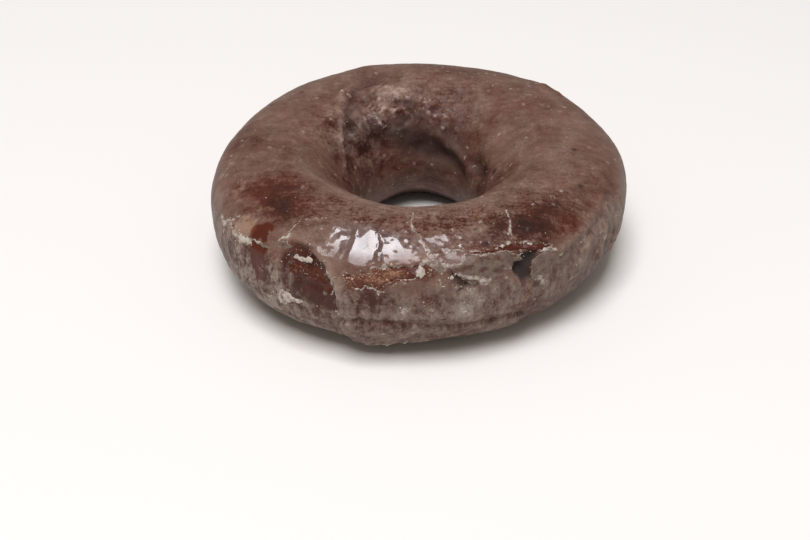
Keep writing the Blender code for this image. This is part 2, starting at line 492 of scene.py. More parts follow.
def glaze_trim(place, marks, noises):
    """Where the small things on the glaze are: edges, cracks, veins, crusted sugar, and specks of sugar with
    painted glints among them.
    """
    ragged, grain = noises.ragged, noises.grain
    hard = (1 - marks.soft * 3).limited()
    edge = (marks.bare + ragged).rise(-0.34, -0.04) * marks.bare.rise(0.20, 0.05) * hard
    vein = (marks.vein + ragged * 0.55).rise(0.26, 0.05)
    light = specks(place, 1.9, 0.14, 5.0) * place.cloud(0.3, 1.0).rise(0.4, 0.5)
    # Fine white specks over the front top, painted as glints
    painted_glints = specks(place, 0.9, 0.20, 50.0) * marks.busy * place.cloud(2.0, 2.0).rise(0.5, 0.6)
    return SimpleNamespace(
        rim=marks.bare.rise(-0.16, 0.0) * marks.bare.rise(0.25, 0.1) * hard,
        edge=edge * (place + 9.0).cloud(1.3, 3.0).rise(0.44, 0.56),
        crack=(marks.crack + ragged * 0.30).rise(0.20, 0.05),
        vein=vein * (place + 15.0).cloud(1.3, 2.0).rise(0.42, 0.56),
        sugar=(marks.crusted + ragged * 1.6 + (grain - 0.5) * 0.7).rise(0.45, 1.0),
        # Crests in the hole, painted pale pink as glints
        crest_and_glint=(marks.crest_and_glint + ragged * 1.4 + (grain - 0.5) * 0.9).rise(0.35, 0.95),
        light=light + painted_glints,
        dark=specks(place, 3.4, 0.05, 21.0) + specks(place, 2.0, 0.10, 61.0) * marks.busy,
    )


# %% Colours of the glaze
def glaze_milk(place, marks, noises):
    """How milky the glaze is: streaked on top, mottled on the walls, finely spotted at the front."""
    wall, busy, torn, mottled = marks.wall, marks.busy, marks.torn, marks.mottled
    lively = wall * (1 - marks.calm)
    wide = (place + 30.0).cloud(12.0, 2.0)
    milk = marks.milk + (noises.streak - 0.5) * (0.42 - wall * 0.22 + busy * 0.5)
    milk = milk + (noises.smear - 0.5) * (wall * 1.5 + mottled * 1.7) + (wide - 0.5) * (0.7 + wall * 0.5)
    milk = milk + (noises.patch - 0.5) * (0.8 + busy * 0.5 + lively * 0.75 + mottled * 0.9 + torn * 1.5)
    milk = milk + noises.fine * (0.25 + busy * 1.5 + lively * 0.7 + mottled * 1.2 + torn * 1.2)
    return milk + (noises.grain - 0.5) * (0.35 + busy * 0.8 + wall * 0.6) + marks.crusted * 0.35


def skin_colour(place, marks, noises, milk):
    """Chocolate under its milk, deep or red where it is clear, and peach where it is warm."""
    red = (marks.red + ((place + 77.0).cloud(6.0, 4.0) - 0.5) * 2.4).limited()
    dust = marks.wall.limited().mixed(GLAZE_CREAM, GLAZE_MILK)
    colour = milk.limited().mixed(red.mixed(GLAZE_DARK, GLAZE_RED), dust)
    clear = ((0.10 - milk) * (2.2 - marks.wall * 1.4)).limited()
    colour = clear.mixed(colour, red.mixed(GLAZE_DEEP_AND_SHADE, DEEP_RED))
    warm = (marks.warm + (noises.patch - 0.5) * 2.2 + noises.ragged).rise(0.1, 1.1) * 0.85
    return warm.mixed(colour, SUGAR_PEACH)


def film_colour(marks, noises):
    """The crust seen through a film of glaze: red or orange, and darker and hazy on the wide panel."""
    patch, fine = noises.patch, noises.fine
    plain = (patch * 0.6 + marks.warm * 0.8 + fine * 0.5).rise(0.35, 1.15).mixed(THIN_RED, CRUST_ORANGE)
    tint = (marks.crust_warm + (patch - 0.5) * 1.8).limited() * 0.9
    old = tint.mixed(CRUST_DARK, (fine * 1.2 + 0.5).rise(0.40, 0.68).mixed(CRUST_RED, CRUST_ORANGE))
    haze = (marks.haze + (noises.smear - 0.5) * 2.0 + fine * 0.9).rise(0.25, 1.2) * 0.6
    return marks.panel.mixed(plain, haze.mixed(old, GLAZE_MILK))


def glaze_colour(marks, noises, trim, colour, thinned):
    """The skin's colour with the film, the sheen and the small things laid over it, one by one."""
    # A painted lilac sheen where the glaze is glossy
    painted_sheen = ((marks.gloss - 0.55) * 0.8).limited() * (1 - thinned)
    # Dark cracks, and painted shade over deep places
    shade = (trim.crack + marks.deep * (0.95 + noises.ragged * 0.8)).limited() * 0.88
    layers = (
        (thinned * 0.97, film_colour(marks, noises)), (painted_sheen, PAINTED_SHEEN_LILAC), (trim.rim * 0.6, CRUST_ORANGE),
        (trim.crest_and_glint * 0.8, PAINTED_GLINT_PINK), (trim.sugar * 0.8, SUGAR_WHITE), (trim.edge * 0.75, SUGAR_WHITE),
        (trim.vein * 0.75, SUGAR_WHITE), (trim.light * 0.40, SUGAR_WHITE), (shade, GLAZE_DEEP_AND_SHADE),
        (trim.dark * 0.7, GLAZE_DEEP_AND_SHADE), (marks.hollow * 0.8, PAINTED_HOLLOW_SHADE),
    )
    for share, paint in layers:
        colour = share.mixed(colour, paint)
    return colour


# %% The glaze's material
def glaze_height(place, marks, noises, trim):
    """The finest relief in millimetres: streaks, grain, pits, and the edges of the broken glaze."""
    wall, patch, grain = marks.wall, noises.patch, noises.grain
    height = (noises.streak - 0.5) * 0.03 + (patch - 0.5) * (0.06 + wall * 0.12) + (grain - 0.5) * 0.015
    height = height * (1 - marks.gloss * 0.7) + (noises.smear - 0.5) * wall * 0.12
    height = height + (trim.edge + trim.vein) * 0.08 - trim.crack * 0.12 - trim.dark * 0.08
    height = height + trim.light * 0.05 + trim.sugar * grain * 0.2 + noises.fine * marks.busy * 0.03
    return height + (place.cloud(1.7, 5.0, 0.65) - 0.5) * marks.torn * 0.55


def make_glaze_material():
    """Milky chocolate glaze, with streaks, sugar specks, pits, cracks and pale broken edges."""
    material, shader, start = new_material("chocolate_glaze")
    place = mark(start, "rest", "Vector")
    marks = SimpleNamespace(**{name: mark(start, name) for name in GLAZE_MARKS})
    noises = glaze_noises(place)
    trim = glaze_trim(place, marks, noises)
    milk = glaze_milk(place, marks, noises)
    soft, gloss, uneven = marks.soft, marks.gloss, noises.patch - 0.5
    thinned = marks.thin + soft * 0.7 + noises.ragged * (0.8 + soft * 2.8)
    thinned = thinned.rise(-0.30, 0.25 + soft * 1.1)
    colour = glaze_colour(marks, noises, trim, skin_colour(place, marks, noises, milk), thinned)
    rough = 0.46 - gloss * 0.26 + uneven * 0.20 + (trim.edge + trim.sugar) * 0.3
    rough = rough + milk.limited() * 0.12 - thinned * 0.22 + marks.deep.limited() * 0.2
    height = glaze_height(place, marks, noises, trim)
    coat = (gloss * 1.25 - 0.35 + uneven * 1.2).limited() * (1 - trim.sugar)
    feed(shader, {"Base Color": colour, "Roughness": rough, "Normal": bumped(height)})
    feed(shader, {"Coat Weight": coat, "Coat Roughness": 0.07, "Coat IOR": 1.6, "Specular IOR Level": 0.22})
    return material


# %% [markdown]
# The finish of the crust.
# Along the torn band, and in the slot behind the flap, the glaze is gone and the crust of the dough
# shows: fried and deep red where its skin held, rough and orange where the skin tore and bares the
# crumb. Colour alone on the glaze would leave the band smooth, so the crust is a ring of its own
# that comes up through the gap. Everywhere else it lies hidden, two millimetres down.


# %% The crust's material
def make_crust_material():
    """Fried crust: deep red brown, with rough orange crumb along the tear."""
    material, shader, start = new_material("fried_crust")
    place, torn, warm = mark(start, "rest", "Vector"), mark(start, "torn"), mark(start, "warm")
    broad = place.cloud(2.0, 5.0, 0.68)
    fine = place.cloud(0.5, 4.0, 0.7)
    tint = (warm + (broad - 0.5) * 3.2 + (fine - 0.5) * 2.4 + 0.08).limited()
    crumb = (torn + warm.maths("MINIMUM", warm, 0.0) * 1.6 + (fine - 0.5) * 1.4 - 0.15).limited()
    colour = crumb.mixed(CRUST_RED, tint.mixed(CRUMB_BROWN, CRUMB_ORANGE))
    pits = (1 - fine.rise(0.34, 0.50)) * place.cloud(1.1, 3.0).rise(0.36, 0.50)
    colour = (pits * 0.8).mixed(colour, CRUST_DARK)
    rough = 0.36 + crumb * 0.35 + (broad - 0.5) * 0.3
    height = (broad - 0.5) * 0.25 + (fine - 0.5) * (0.04 + crumb * 0.9)
    feed(shader, {"Base Color": colour, "Roughness": rough, "Normal": bumped(height)})
    feed(shader, {"Specular IOR Level": 0.3})
    return material


# %% Both rings, still smooth
RING_TREE = ring_tree("wrapped ring")


def wrapped_ring(name, material, lump_height):
    """A fine closed ring over the solid's surface. Lengths are in millimetres."""
    values = {
        "Faces Round Ring": 404,
        "Faces Round Cut": 245,
        "Front Closeness": 0.45,
        "Shoulder Closeness": 0.35,
        "Shoulder At": math.radians(38),
        "Smoothing Passes": 20,
        "Lump Height": lump_height * MM,
        "Material": material,
    }
    piece = run_tree(name, solid_copy(), RING_TREE, values)
    print(name, "has", len(piece.data.polygons), "faces")
    return piece


glaze = wrapped_ring("glaze", make_glaze_material(), 0.35)
crust = wrapped_ring("crust", make_crust_material(), 0.5)

# %% [markdown]
# Marks placed one by one.
# Where the glaze broke has no rule, so these marks are placed one by one, by their angles. Each is
# an outline, a line or a spot, and numpy works out every vertex's distance to it. A sculptor would
# push the mesh with a brush; a distance is exact, can be run again, and also tells the material
# where to put the pale edge of the broken glaze.

# %% Outlines of the bare places
BARE_OUTLINES = {
    "torn band": (
        (-109.4, 28.1), (-109.1, 31.1), (-106.7, 30.8), (-104.8, 32.4), (-102.8, 35.9), (-100.6, 38.7),
        (-98.1, 40.1), (-94.9, 38.7), (-91, 40.9), (-88.5, 42), (-84.5, 43.2), (-84.8, 39),
        (-87.5, 35.5), (-90.7, 34.8), (-92.9, 33.3), (-96.4, 32.1), (-99, 28.1), (-100, 24.9),
        (-104.3, 25.4), (-104.9, 24), (-108.2, 22.8),
    ),
    "slot behind the flap": (
        (-76.5, 47.8), (-69, 47.2), (-65.4, 48.2), (-62.6, 48.6), (-58.7, 46.8), (-54.5, 41.2),
        (-50.6, 36.4), (-52.5, 35.4), (-56.4, 38.6), (-60.5, 43), (-65.2, 45.2), (-69, 45.8),
        (-75.5, 46.4),
    ),
}

# Where the glaze is thin: how far in it goes on thinning, in millimetres, and the outline
THIN_OUTLINES = {
    "big panel": (1, (
        (-126.9, 32.3), (-125.9, 38.6), (-124.2, 41.4), (-120.7, 40.3), (-118.3, 36.8), (-115, 32.1),
        (-113.4, 25.5), (-111.7, 17.3), (-110.9, 8.8), (-111.1, 0.4), (-114.6, 3.1), (-117.3, 4.6),
        (-120.4, 3.6), (-123.3, 6.3), (-124.8, 9.3), (-126.1, 13.2), (-126.8, 20.8),
    )),
    "skirt of the torn band": (0.05, (
        (-109.9, 28.5), (-108.2, 21.4), (-104.6, 22.2), (-99.6, 23.4), (-97, 28.2), (-95.8, 30.9),
        (-92.5, 31.8), (-90.5, 33.2), (-87.2, 34), (-84.2, 38.2), (-86, 41), (-95, 38),
        (-103, 33),
    )),
    "narrow panel": (0.30, (
        (-138, 28.2), (-135.8, 30.5), (-133, 29.5), (-131.7, 22.5), (-131.9, 13.5), (-132.4, 5.9),
        (-134.5, 5.2), (-136.4, 12.5), (-137.4, 21.8),
    )),
    "oval spot": (1, (
        (-139.4, 30.9), (-140.2, 33.5), (-139.5, 37.7), (-137.8, 42), (-135.2, 43.5), (-133.9, 41),
        (-134.3, 35.1), (-133.4, 32.4), (-135.6, 31.3), (-138, 30.6),
    )),
}


def distance_to_line(places, line, closed=False):
    """Distance in millimetres of places in the chart to a line through points told by angles."""
    corners = to_chart(*np.array(line).T)
    ends = np.roll(corners, -1, axis=0) if closed else corners[1:]
    nearest = np.full(len(places), np.inf)
    for start, end in zip(corners, ends):
        edge = end - start
        share = np.clip((places - start) @ edge / (edge @ edge), 0, 1)
        nearest = np.minimum(nearest, np.linalg.norm(places - start - share[:, None] * edge, axis=1))
    return nearest


def distance_inside(places, outline):
    """Distance in millimetres of places in the chart to an outline, above zero inside it."""
    corners = to_chart(*np.array(outline).T)
    inside = np.zeros(len(places), bool)
    x, y = places.T
    for start, end in zip(corners, np.roll(corners, -1, axis=0)):
        height = end[1] - start[1]
        spans = (start[1] > y) != (end[1] > y)
        crossing = start[0] + (end[0] - start[0]) * (y - start[1]) / (height or np.inf)
        inside ^= spans & (x < crossing)
    nearest = distance_to_line(places, outline, closed=True)
    return np.where(inside, nearest, -nearest)


def clouds(points, size, seed=0.0):
    """Smooth noise from about -1 to 1 at points in millimetres."""
    moved = (points / size + seed).tolist()
    return np.array([noise.noise(point) for point in moved])


def smooth_rise(value, low, high):
    """0 up to the low value, 1 from the high value on, with a smooth rise between them."""
    share = np.clip((value - low) / (high - low), 0, 1)
    return share * share * (3 - 2 * share)


def hump(distance, reach):
    """1 at no distance, falling smoothly to nothing past the reach."""
    return np.exp(-((distance / reach) ** 2))


def turn_from(azimuth, other):
    """The turn from one azimuth to another, in degrees from -180 to 180."""
    return (azimuth - other + 180) % 360 - 180


# %% Cracks and pale veins
DARK_CRACKS = (
    ((-104.6, 71), (-103.7, 65.6), (-102.4, 57.1), (-101.1, 49.2), (-100.5, 42.5)),
    ((-81.6, 37), (-80.6, 34.3), (-79.4, 31), (-77.7, 27.9), (-78, 23.8), (-80.1, 22.3)),
    ((-77.7, 27.9), (-76, 26.2), (-75, 24.6)),
    ((-76.5, 47.6), (-72, 46.4), (-67.9, 46.4)),
)
PALE_VEINS = (
    ((-86.3, 48.4), (-81.3, 50.6), (-77.4, 50.3)),
    ((-79, 70.6), (-78.4, 63), (-76.8, 60.5)),
    ((-57.1, 114.2), (-57.5, 100.8), (-56.8, 91.4)),
    ((-128.2, 41.3), (-128.8, 45), (-128.8, 54.8), (-122, 66)),
    ((-117.1, 45.3), (-117.3, 53), (-116.9, 59), (-111.6, 61.2)),
    ((-111.1, 0.4), (-111.6, 12), (-113, 22), (-113.6, 27)),
)
SUGAR_LINES = (
    ((-153.8, 24.4), (-150.7, 25.1), (-149.9, 20), (-149.3, 15.9)),
    ((-150.7, 25.1), (-147.9, 30.7), (-147.4, 33.5), (-146.3, 35.9)),
    ((-147.4, 27.5), (-145.5, 24.5), (-142.7, 25.4), (-140.4, 26.9), (-138.4, 28)),
    ((-123.5, 3.6), (-121.8, 2), (-120.4, 2.9)),
    ((-104.3, 25.4), (-102.2, 24.8), (-99.7, 22.7)),
    ((-131, 36.2), (-130.5, 37.5), (-128.1, 41), (-128.5, 43.8)),
    ((-92.7, 91.7), (-93.1, 80.4), (-92.1, 71.9), (-90.3, 65.3), (-89.1, 60.4), (-87.9, 56.6), (-87.3, 48.6)),
    ((-56.1, 78.1), (-59, 65.5), (-61.1, 57.2), (-60.9, 53.5)),
    ((-109.4, -28), (-106, -34), (-101, -31), (-95, -33), (-88, -32)),
)

# %% Round marks: crusted sugar, bumps and pits
# Azimuth, section, reach in millimetres, strength
CRUSTED = (
    (-141.6, 25.4, 1.3, 1.2), (-148.4, 27.2, 0.9, 1), (-150.4, 24.2, 0.9, 0.9), (-145.4, 29.4, 0.7, 0.8),
    (-139.4, 26.4, 0.8, 1.1), (-144.4, 25.4, 0.7, 0.9), (-140.5, 1.9, 0.8, 0.8), (-138.2, 15.5, 0.8, 0.7),
    (-144.2, -6.8, 0.8, 0.6), (-125.8, 2.6, 1.4, 0.9), (-125.8, -3, 0.8, 0.9), (-88.4, 44.3, 0.9, 1.1),
    (-86.4, 43.6, 1.1, 1.1), (-83.6, 40.4, 1.2, 0.9), (-99.4, 39.6, 0.7, 1.1), (-97.4, 41, 0.5, 0.9),
    (-94, 7.4, 1.2, 0.7), (-114.2, 29.2, 0.6, 1), (-121.3, 56.8, 0.5, 0.8), (-66.1, 47.6, 0.6, 1),
    (-63.2, 49.2, 0.7, 1), (-56.8, 44.6, 0.7, 1), (-59.3, 47.5, 0.5, 0.8), (-66.3, 25.6, 0.5, 0.9),
    (-77, 22.6, 0.9, 0.8), (-80.2, 25.4, 0.8, 0.8), (-81.4, 32.2, 0.6, 1), (-84.5, 27.6, 1.3, 0.75),
    (-76.6, 20.7, 1.7, 0.7), (-78.3, 5.6, 1.3, 0.95), (-67.9, -5, 1, 0.6), (-69.4, 20.3, 1.3, 0.5),
    (-94, 30.3, 0.7, 0.8), (-133.4, 14, 0.8, 0.7), (-131, -6, 1.6, 0.7), (-137, -4, 1.4, 0.6),
    (-168, 36, 1.2, 0.6), (-172, 43, 1.1, 0.6), (-37.5, 69, 0.9, 0.6), (-29.7, 17.7, 1, 0.7),
    (-38.3, 21.7, 0.8, 0.7), (-39.3, 28, 0.6, 0.8), (-30.5, 22.2, 0.7, 0.7), (-55.9, 16.8, 0.9, 0.95),
    (-55.2, 12.4, 1, 1), (-46.2, 71.8, 0.5, 0.9), (47.7, 79.8, 0.5, 0.9), (39.8, 76.9, 0.5, 0.9),
    (168, 97.9, 0.5, 0.9), (-176.3, 73, 0.5, 0.9), (-20, 18, 1.6, 0.5), (-45, 10, 1.6, 0.4),
    (-98, -30, 1, 0.6), (-135, -13, 1.3, 0.6), (-93.2, 6.6, 0.9, 0.5), (-73.5, 12, 1.3, 0.6),
    (-88, 10, 1.4, 0.45),
)
# Azimuth, section, reach in millimetres, height in millimetres
BUMPS = (
    (41.7, 55, 1.6, 0.9), (37, 49.5, 1.2, 0.5), (111.3, 59.1, 1.5, 0.35), (163.4, 72.3, 0.9, -0.35),
    (-21.1, 97.3, 0.7, -0.25), (-8.7, 135.1, 0.8, -0.35), (-106.8, 64, 0.3, -0.12),
    (-84, 80.9, 0.5, -0.22), (-78.3, 86.3, 0.45, -0.2), (-73.3, 78.5, 0.5, -0.22),
    (-67.3, 78.3, 0.4, -0.18), (-65, 72, 0.5, -0.22), (-81.2, 67.4, 0.4, -0.2), (-60.9, 83.8, 0.4, -0.18),
    (-112.4, 86.4, 0.5, -0.22), (-109.3, 59.6, 1, -0.14), (-55.3, 13, 1.5, 0.45), (-88.4, 42, 1.6, 0.25),
    (-92.3, -15.2, 0.35, -0.25), (-90.6, -15.8, 0.3, -0.2), (-89.1, -15, 0.3, -0.2),
    (-98.9, -33, 0.6, 0.35), (-143.5, 31, 1.8, 0.15), (-126.4, 5.7, 0.3, -0.3), (-136.8, 37, 1.8, -0.2),
)
# Small raised spots that glint beside the plates: azimuth, section
GLINTS = (
    (-113.8, 55), (-116.2, 58.6), (-114.7, 43.6), (-121.3, 56.8), (-102.1, 69.8), (-98.7, 68.9),
    (-94.1, 68.6), (-94, 60.8), (-92.4, 56.4), (-86.3, 49), (-84.6, 49.6), (-81.3, 51.7), (-79.3, 49.6),
    (-82, 53.5), (-81.8, 64.9), (-76.1, 65), (-76.7, 62), (-77.7, 70.5), (-68, 54.3), (-70, 50.8),
    (-70.8, 55.6), (-69.2, 60.4), (-66.2, 62.7), (-60.9, 56.6), (-59.7, 51.3), (-54.4, 54.9),
    (-77.4, 55.4), (-73.8, 63),
)
GLINT_REACH = 0.55
GLINT_HEIGHT = 0.17
# Patches where the glaze is milkier or clearer than round them, and redder or browner, judged in
# three steps: azimuth, section, reach round and up in millimetres, change of milk, change of red
BIT = 0.1
SOME = 0.2
MUCH = 0.4
PATCHES = (
    # On top at the left: clear and red over the front shoulder, milkier behind it
    (-148, 67, 9, 6, -MUCH, MUCH), (-149, 84, 9, 4, -SOME, SOME), (-138, 56, 5, 3, -MUCH, SOME),
    (-154, 44, 6, 4, -BIT, MUCH), (166, 68, 8, 5, SOME, 0), (-163, 104, 11, 3, SOME, 0),
    # On top at the front: milky along the lip of the hole, redder and clearer above the plates
    (-103, 110, 30, 5, MUCH, 0), (-128, 90, 9, 3, -SOME, SOME), (-88, 79, 6, 3, -SOME, BIT),
    # Beside the plates: a grey veil at their left, a painted sheen, and a milky spot at their right, painted
    # glints
    (-122, 57, 5, 3, BIT, -SOME), (-118, 48, 4, 3, BIT, -SOME), (-88, 56, 3, 2, SOME, -BIT),
    (-72, 66, 4, 2, MUCH, -SOME),
    # On top at the right: the darkest brown over the slot, milky towards the back
    (-62, 63, 8, 4, -SOME, -SOME), (-56, 56, 4, 3, -MUCH, -BIT), (-45, 66, 8, 5, -MUCH, -SOME),
    (-48, 86, 6, 4, -BIT, -BIT), (15, 66, 11, 5, SOME, 0), (90, 92, 30, 3, 0, SOME),
    # The wall at the left: mottled milk, with clear glaze round the narrow panel
    (-160, 28, 3, 2, MUCH, 0), (-151, 20, 4, 3, SOME, BIT), (-135, 14, 3, 4, -SOME, BIT),
    (-129, 12, 1.4, 6, SOME, 0), (-133, -12, 5, 3, SOME, BIT),
    # The wall at the front: milky beside the wide panel, brown under the torn band, warm and darker at the
    # foot, the darker part painted shade
    (-112, 36, 2, 2, SOME, -BIT), (-110, 22, 1.4, 3, SOME, 0), (-104, 14, 3, 4, -SOME, 0),
    (-98, 1, 5, 1.4, SOME, -BIT), (-87, 13, 2, 2, -MUCH, -BIT), (-85, -20, 5, 3, -SOME, BIT),
    (-72, -18, 8, 4, -SOME, SOME),
    # The wall at the right: clearer and warm under the flap and low down, the clearer part painted shade,
    # reddish by the slot, milky farther round
    (-59, 17, 2.4, 4, -SOME, -BIT), (-60, 0, 8, 5, -SOME, SOME), (-45, 6, 6, 4, -SOME, BIT),
    (-24, -6, 5, 4, -BIT, SOME), (-53, 46, 4, 3, -SOME, 0), (-43, 40, 5, 2, -BIT, MUCH),
    (-28, 37, 6, 2.4, -BIT, MUCH), (-22, 45, 5, 3, -SOME, BIT), (-28, 24, 6, 3, BIT, BIT),
    (-12, 20, 8, 4, BIT, BIT),
    # In the hole: red at the right, darker in the folds as painted shade, paler where the folds stand out as
    # painted light
    (20, 138, 12, 5, SOME, MUCH), (2, 146, 8, 4, SOME, SOME), (62, 132, 4, 4, 0, MUCH),
    (76, 120, 6, 3, -SOME, MUCH), (92, 135, 9, 4, -SOME, 0), (121, 140, 6, 4, -SOME, 0),
    (143, 150, 6, 3, -MUCH, -BIT), (151, 110, 5, 3, -MUCH, SOME), (158, 138, 4, 4, BIT, SOME),
    (68, 150, 8, 3, -SOME, BIT), (104, 106, 8, 3, MUCH, 0), (104, 151, 8, 2, SOME, -BIT),
    (134, 111, 5, 2.4, SOME, BIT), (151, 131, 3, 2, MUCH, 0),
)
# Azimuth, section, reach round and up in millimetres, strength
WARM_GLAZE = (
    (-143.6, 31, 2.6, 2.2, 1.1), (-140.8, 36, 1.2, 1.4, 0.5), (-157, 42, 1.8, 2, 0.5),
    (-98.6, 27, 2.5, 1, 0.3), (72.1, 117.3, 1.6, 3, 0.4), (134, 112, 1.2, 3, 0.4), (19, 154, 3, 2, 0.3),
    (-32, 27, 8, 2.5, 0.35), (-135, -13, 2.4, 0.9, 0.9), (-60, 3, 3.5, 2.5, 0.35),
    (110, 54, 1.5, 1.5, 0.5),
)
WARM_CRUST = (
    (-122, 27.5, 1.4, 1.2, 0.7), (-117, 25, 1.3, 1.3, 0.8), (-123.8, 24.6, 0.9, 1.2, 0.6),
    (-120, 37, 2.6, 0.9, 0.35), (-114, 19, 0.9, 2.6, 0.45), (-123.5, 36, 1.6, 0.9, 0.4),
    (-107, 28, 2.4, 1.2, 0.5), (-100.8, 31, 2.4, 0.8, 0.7), (-95.9, 35.6, 1.8, 0.8, 0.8),
    (-91, 37, 2.4, 1.8, -0.9), (-105.5, 27, 2, 1, -0.5), (-66, 46.5, 9, 1.4, -1), (-55, 41, 4, 2, -1),
)
HAZE = (
    (-124, 15, 1.3, 2.6, 0.75), (-121.6, 8, 1.6, 1.3, 0.6), (-125, 25, 0.8, 2, 0.35),
    (-125.5, 33, 0.9, 1.2, 0.5), (-119.6, 22.6, 1, 1.6, 0.4), (-116, 5.6, 2.6, 0.6, 0.3),
)
# The side of the big panel where the glaze thins out without an edge, and where its edge is smooth
SOFT_SIDE = (
    (-127.1, 32.5), (-127, 20.8), (-126.3, 13.2), (-125, 9.3), (-123.5, 6), (-120.4, 3.6), (-117.3, 4.4),
    (-114.6, 2.9), (-111.6, 0.4),
)
SMOOTH_SIDE = ((-126, 38.6), (-124.2, 41.4), (-120.7, 40.3), (-118.3, 36.8), (-115.6, 33.1))
SOFT_REACH = 1.4
SUNK_REACH = 3.0
# The smooth raised run of glaze round the top and the right of the big panel, painted milky grey as its sheen
SWOOSH = (
    (-128.5, 43.4), (-124.8, 44.6), (-121.2, 43.8), (-117.4, 39.8), (-114.8, 34.4), (-112.6, 27),
    (-110.9, 19.2), (-109.8, 11.8),
)

# %% [markdown]
# Plates of glaze.
# Where the ring was squeezed the glaze cracked into plates a few millimetres wide. Each plate
# stayed nearly flat while the dough round it curved, so each mirrors the soft box as a whole. The
# plates are the cells round chosen middles, and each cell is drawn towards a plane that faces its
# own way.

# %% Middles of the plates, the way each one faces, and how flat it is
PLATES = (
    ((-114.4, 51.5), (-101, 60), 0.9), ((-106.2, 53.5), (-97, 56), 1), ((-97.4, 53), (-90, 62), 0.9),
    ((-92.3, 54), (-84, 64), 0.7), ((-84, 52), (-90, 61), 0.75), ((-75, 58), (-86, 68), 0.5),
    ((-65, 60), (-74, 66), 0.4), ((-122.5, 52), (-118, 70), 0.6), ((-111, 79), (-110, 82), 0.4),
    ((-100.6, 76), (-98, 66), 0.5), ((-89, 78), (-92, 80), 0.3), ((-78, 82), (-80, 84), 0.3),
    ((-56, 62), (-62, 70), 0.3), ((-124, 80), (-120, 84), 0.2), ((-112, 26), (-100, 36), 0),
    ((-100, 27), (-95, 36), 0), ((-88, 30), (-88, 40), 0), ((-72, 35), (-72, 40), 0),
)
PLATE_LIMIT = 1.5
PLATE_BLEND = 0.35


def facing(azimuth, elevation):
    """The direction that faces an azimuth and an elevation, in degrees."""
    turn, rise = math.radians(azimuth), math.radians(elevation)
    return np.array([math.cos(turn) * math.cos(rise), math.sin(turn) * math.cos(rise), math.sin(rise)])


def plates(points, normals, chart):
    """The height that draws each point towards the planes of the two plates nearest to it."""
    middles = to_chart(*np.array([row[0] for row in PLATES]).T)
    spots = lay_on_ring(middles)[0]
    ways = np.array([facing(*row[1]) for row in PLATES])
    flat = np.array([row[2] for row in PLATES])
    squares = ((chart[:, None] - middles[None]) ** 2).sum(-1)
    order = np.argsort(squares, axis=1)[:, :2]
    rows = np.arange(len(chart))
    between = np.linalg.norm(middles[order[:, 0]] - middles[order[:, 1]], axis=1)
    from_edge = (squares[rows, order[:, 1]] - squares[rows, order[:, 0]]) / (2 * between)
    own = 0.5 + 0.5 * smooth_rise(from_edge, 0, PLATE_BLEND)
    total = 0
    for plate, share in zip(order.T, (own, 1 - own)):
        drop = ((spots[plate] - points) * ways[plate]).sum(-1)
        slant = np.maximum((normals * ways[plate]).sum(-1), 0.5)
        total += share * flat[plate] * PLATE_LIMIT * np.tanh(drop / slant / PLATE_LIMIT)
    return total


# %% Read, change and write back a ring
def ring_arrays(piece):
    """Rest places in millimetres, their normals, and their places in the chart."""
    mesh = piece.data
    count = len(mesh.vertices)
    rest = np.empty(count * 3)
    mesh.attributes["rest"].data.foreach_get("vector", rest)
    normals = np.empty(count * 3)
    mesh.vertices.foreach_get("normal", normals)
    rest = rest.reshape(-1, 3)
    azimuth, section = angles_of(rest)
    return rest, normals.reshape(-1, 3), to_chart(azimuth, section)


def raise_ring(piece, normals, height):
    """Moves a ring's vertices along their normals, by millimetres, within the solid's box."""
    points = np.empty(len(height) * 3)
    piece.data.vertices.foreach_get("co", points)
    points = points.reshape(-1, 3) + normals * height[:, None] * MM
    points = np.clip(points, LOW, HIGH)
    piece.data.vertices.foreach_set("co", points.ravel())
    piece.data.update()


def store(piece, name, values):
    """Writes one number for each vertex, under a name that the material reads."""
    layer = piece.data.attributes.new(name, "FLOAT", "POINT")
    layer.data.foreach_set("value", np.asarray(values, np.float32))


def wandered(rest, chart, size, amount, seed):
    """The chart's places, each moved a little by noise, which makes straight outlines ragged."""
    moves = np.stack([clouds(rest, size, seed), clouds(rest, size, seed + 5)], -1)
    return chart + moves * amount


def broken_edge(rest, chart):
    """Distance in millimetres inside the places where the glaze is gone."""
    ragged = wandered(rest, wandered(rest, chart, 1.3, 0.75, 3.0), 0.55, 0.30, 30.0)
    return np.max([distance_inside(ragged, outline) for outline in BARE_OUTLINES.values()], axis=0)


def thin_glaze(rest, chart):
    """How thin the glaze is, and the distance in millimetres inside the big panel."""
    ragged = wandered(rest, wandered(rest, chart, 1.6, 0.6, 23.0), 0.55, 0.25, 30.0)
    inside = {name: distance_inside(ragged, outline) for name, (_, outline) in THIN_OUTLINES.items()}
    thin = [np.minimum(inside[name], most) for name, (most, _) in THIN_OUTLINES.items()]
    return np.max(thin, axis=0), inside["big panel"]


def line_distance(rest, chart, lines, seed):
    """Distance in millimetres to the nearest of some lines, which wander a little."""
    moved = wandered(rest, chart, 1.2, 0.55, seed)
    return np.min([distance_to_line(moved, line) for line in lines], axis=0)


def spot_sum(rest, rows, highest=False):
    """Round marks, each fading with its distance from a spot on the ring."""
    spots = lay_on_ring(to_chart(*np.array(rows)[:, :2].T))[0]
    marks = [row[3] * hump(np.linalg.norm(rest - spot, axis=1), row[2]) for row, spot in zip(rows, spots)]
    return np.max(marks, axis=0) if highest else np.sum(marks, axis=0)


def soft_marks(azimuth, section, rows, column=4):
    """Wide soft marks, longer one way than the other. The column holds their strength."""
    total = np.zeros(len(azimuth))
    for row in rows:
        along = turn_from(azimuth, row[0]) * ROUND_PER_DEGREE / row[2]
        up = (section - row[1]) * CUT_PER_DEGREE / row[3]
        total += row[column] * np.exp(-(along**2) - up**2)
    return total


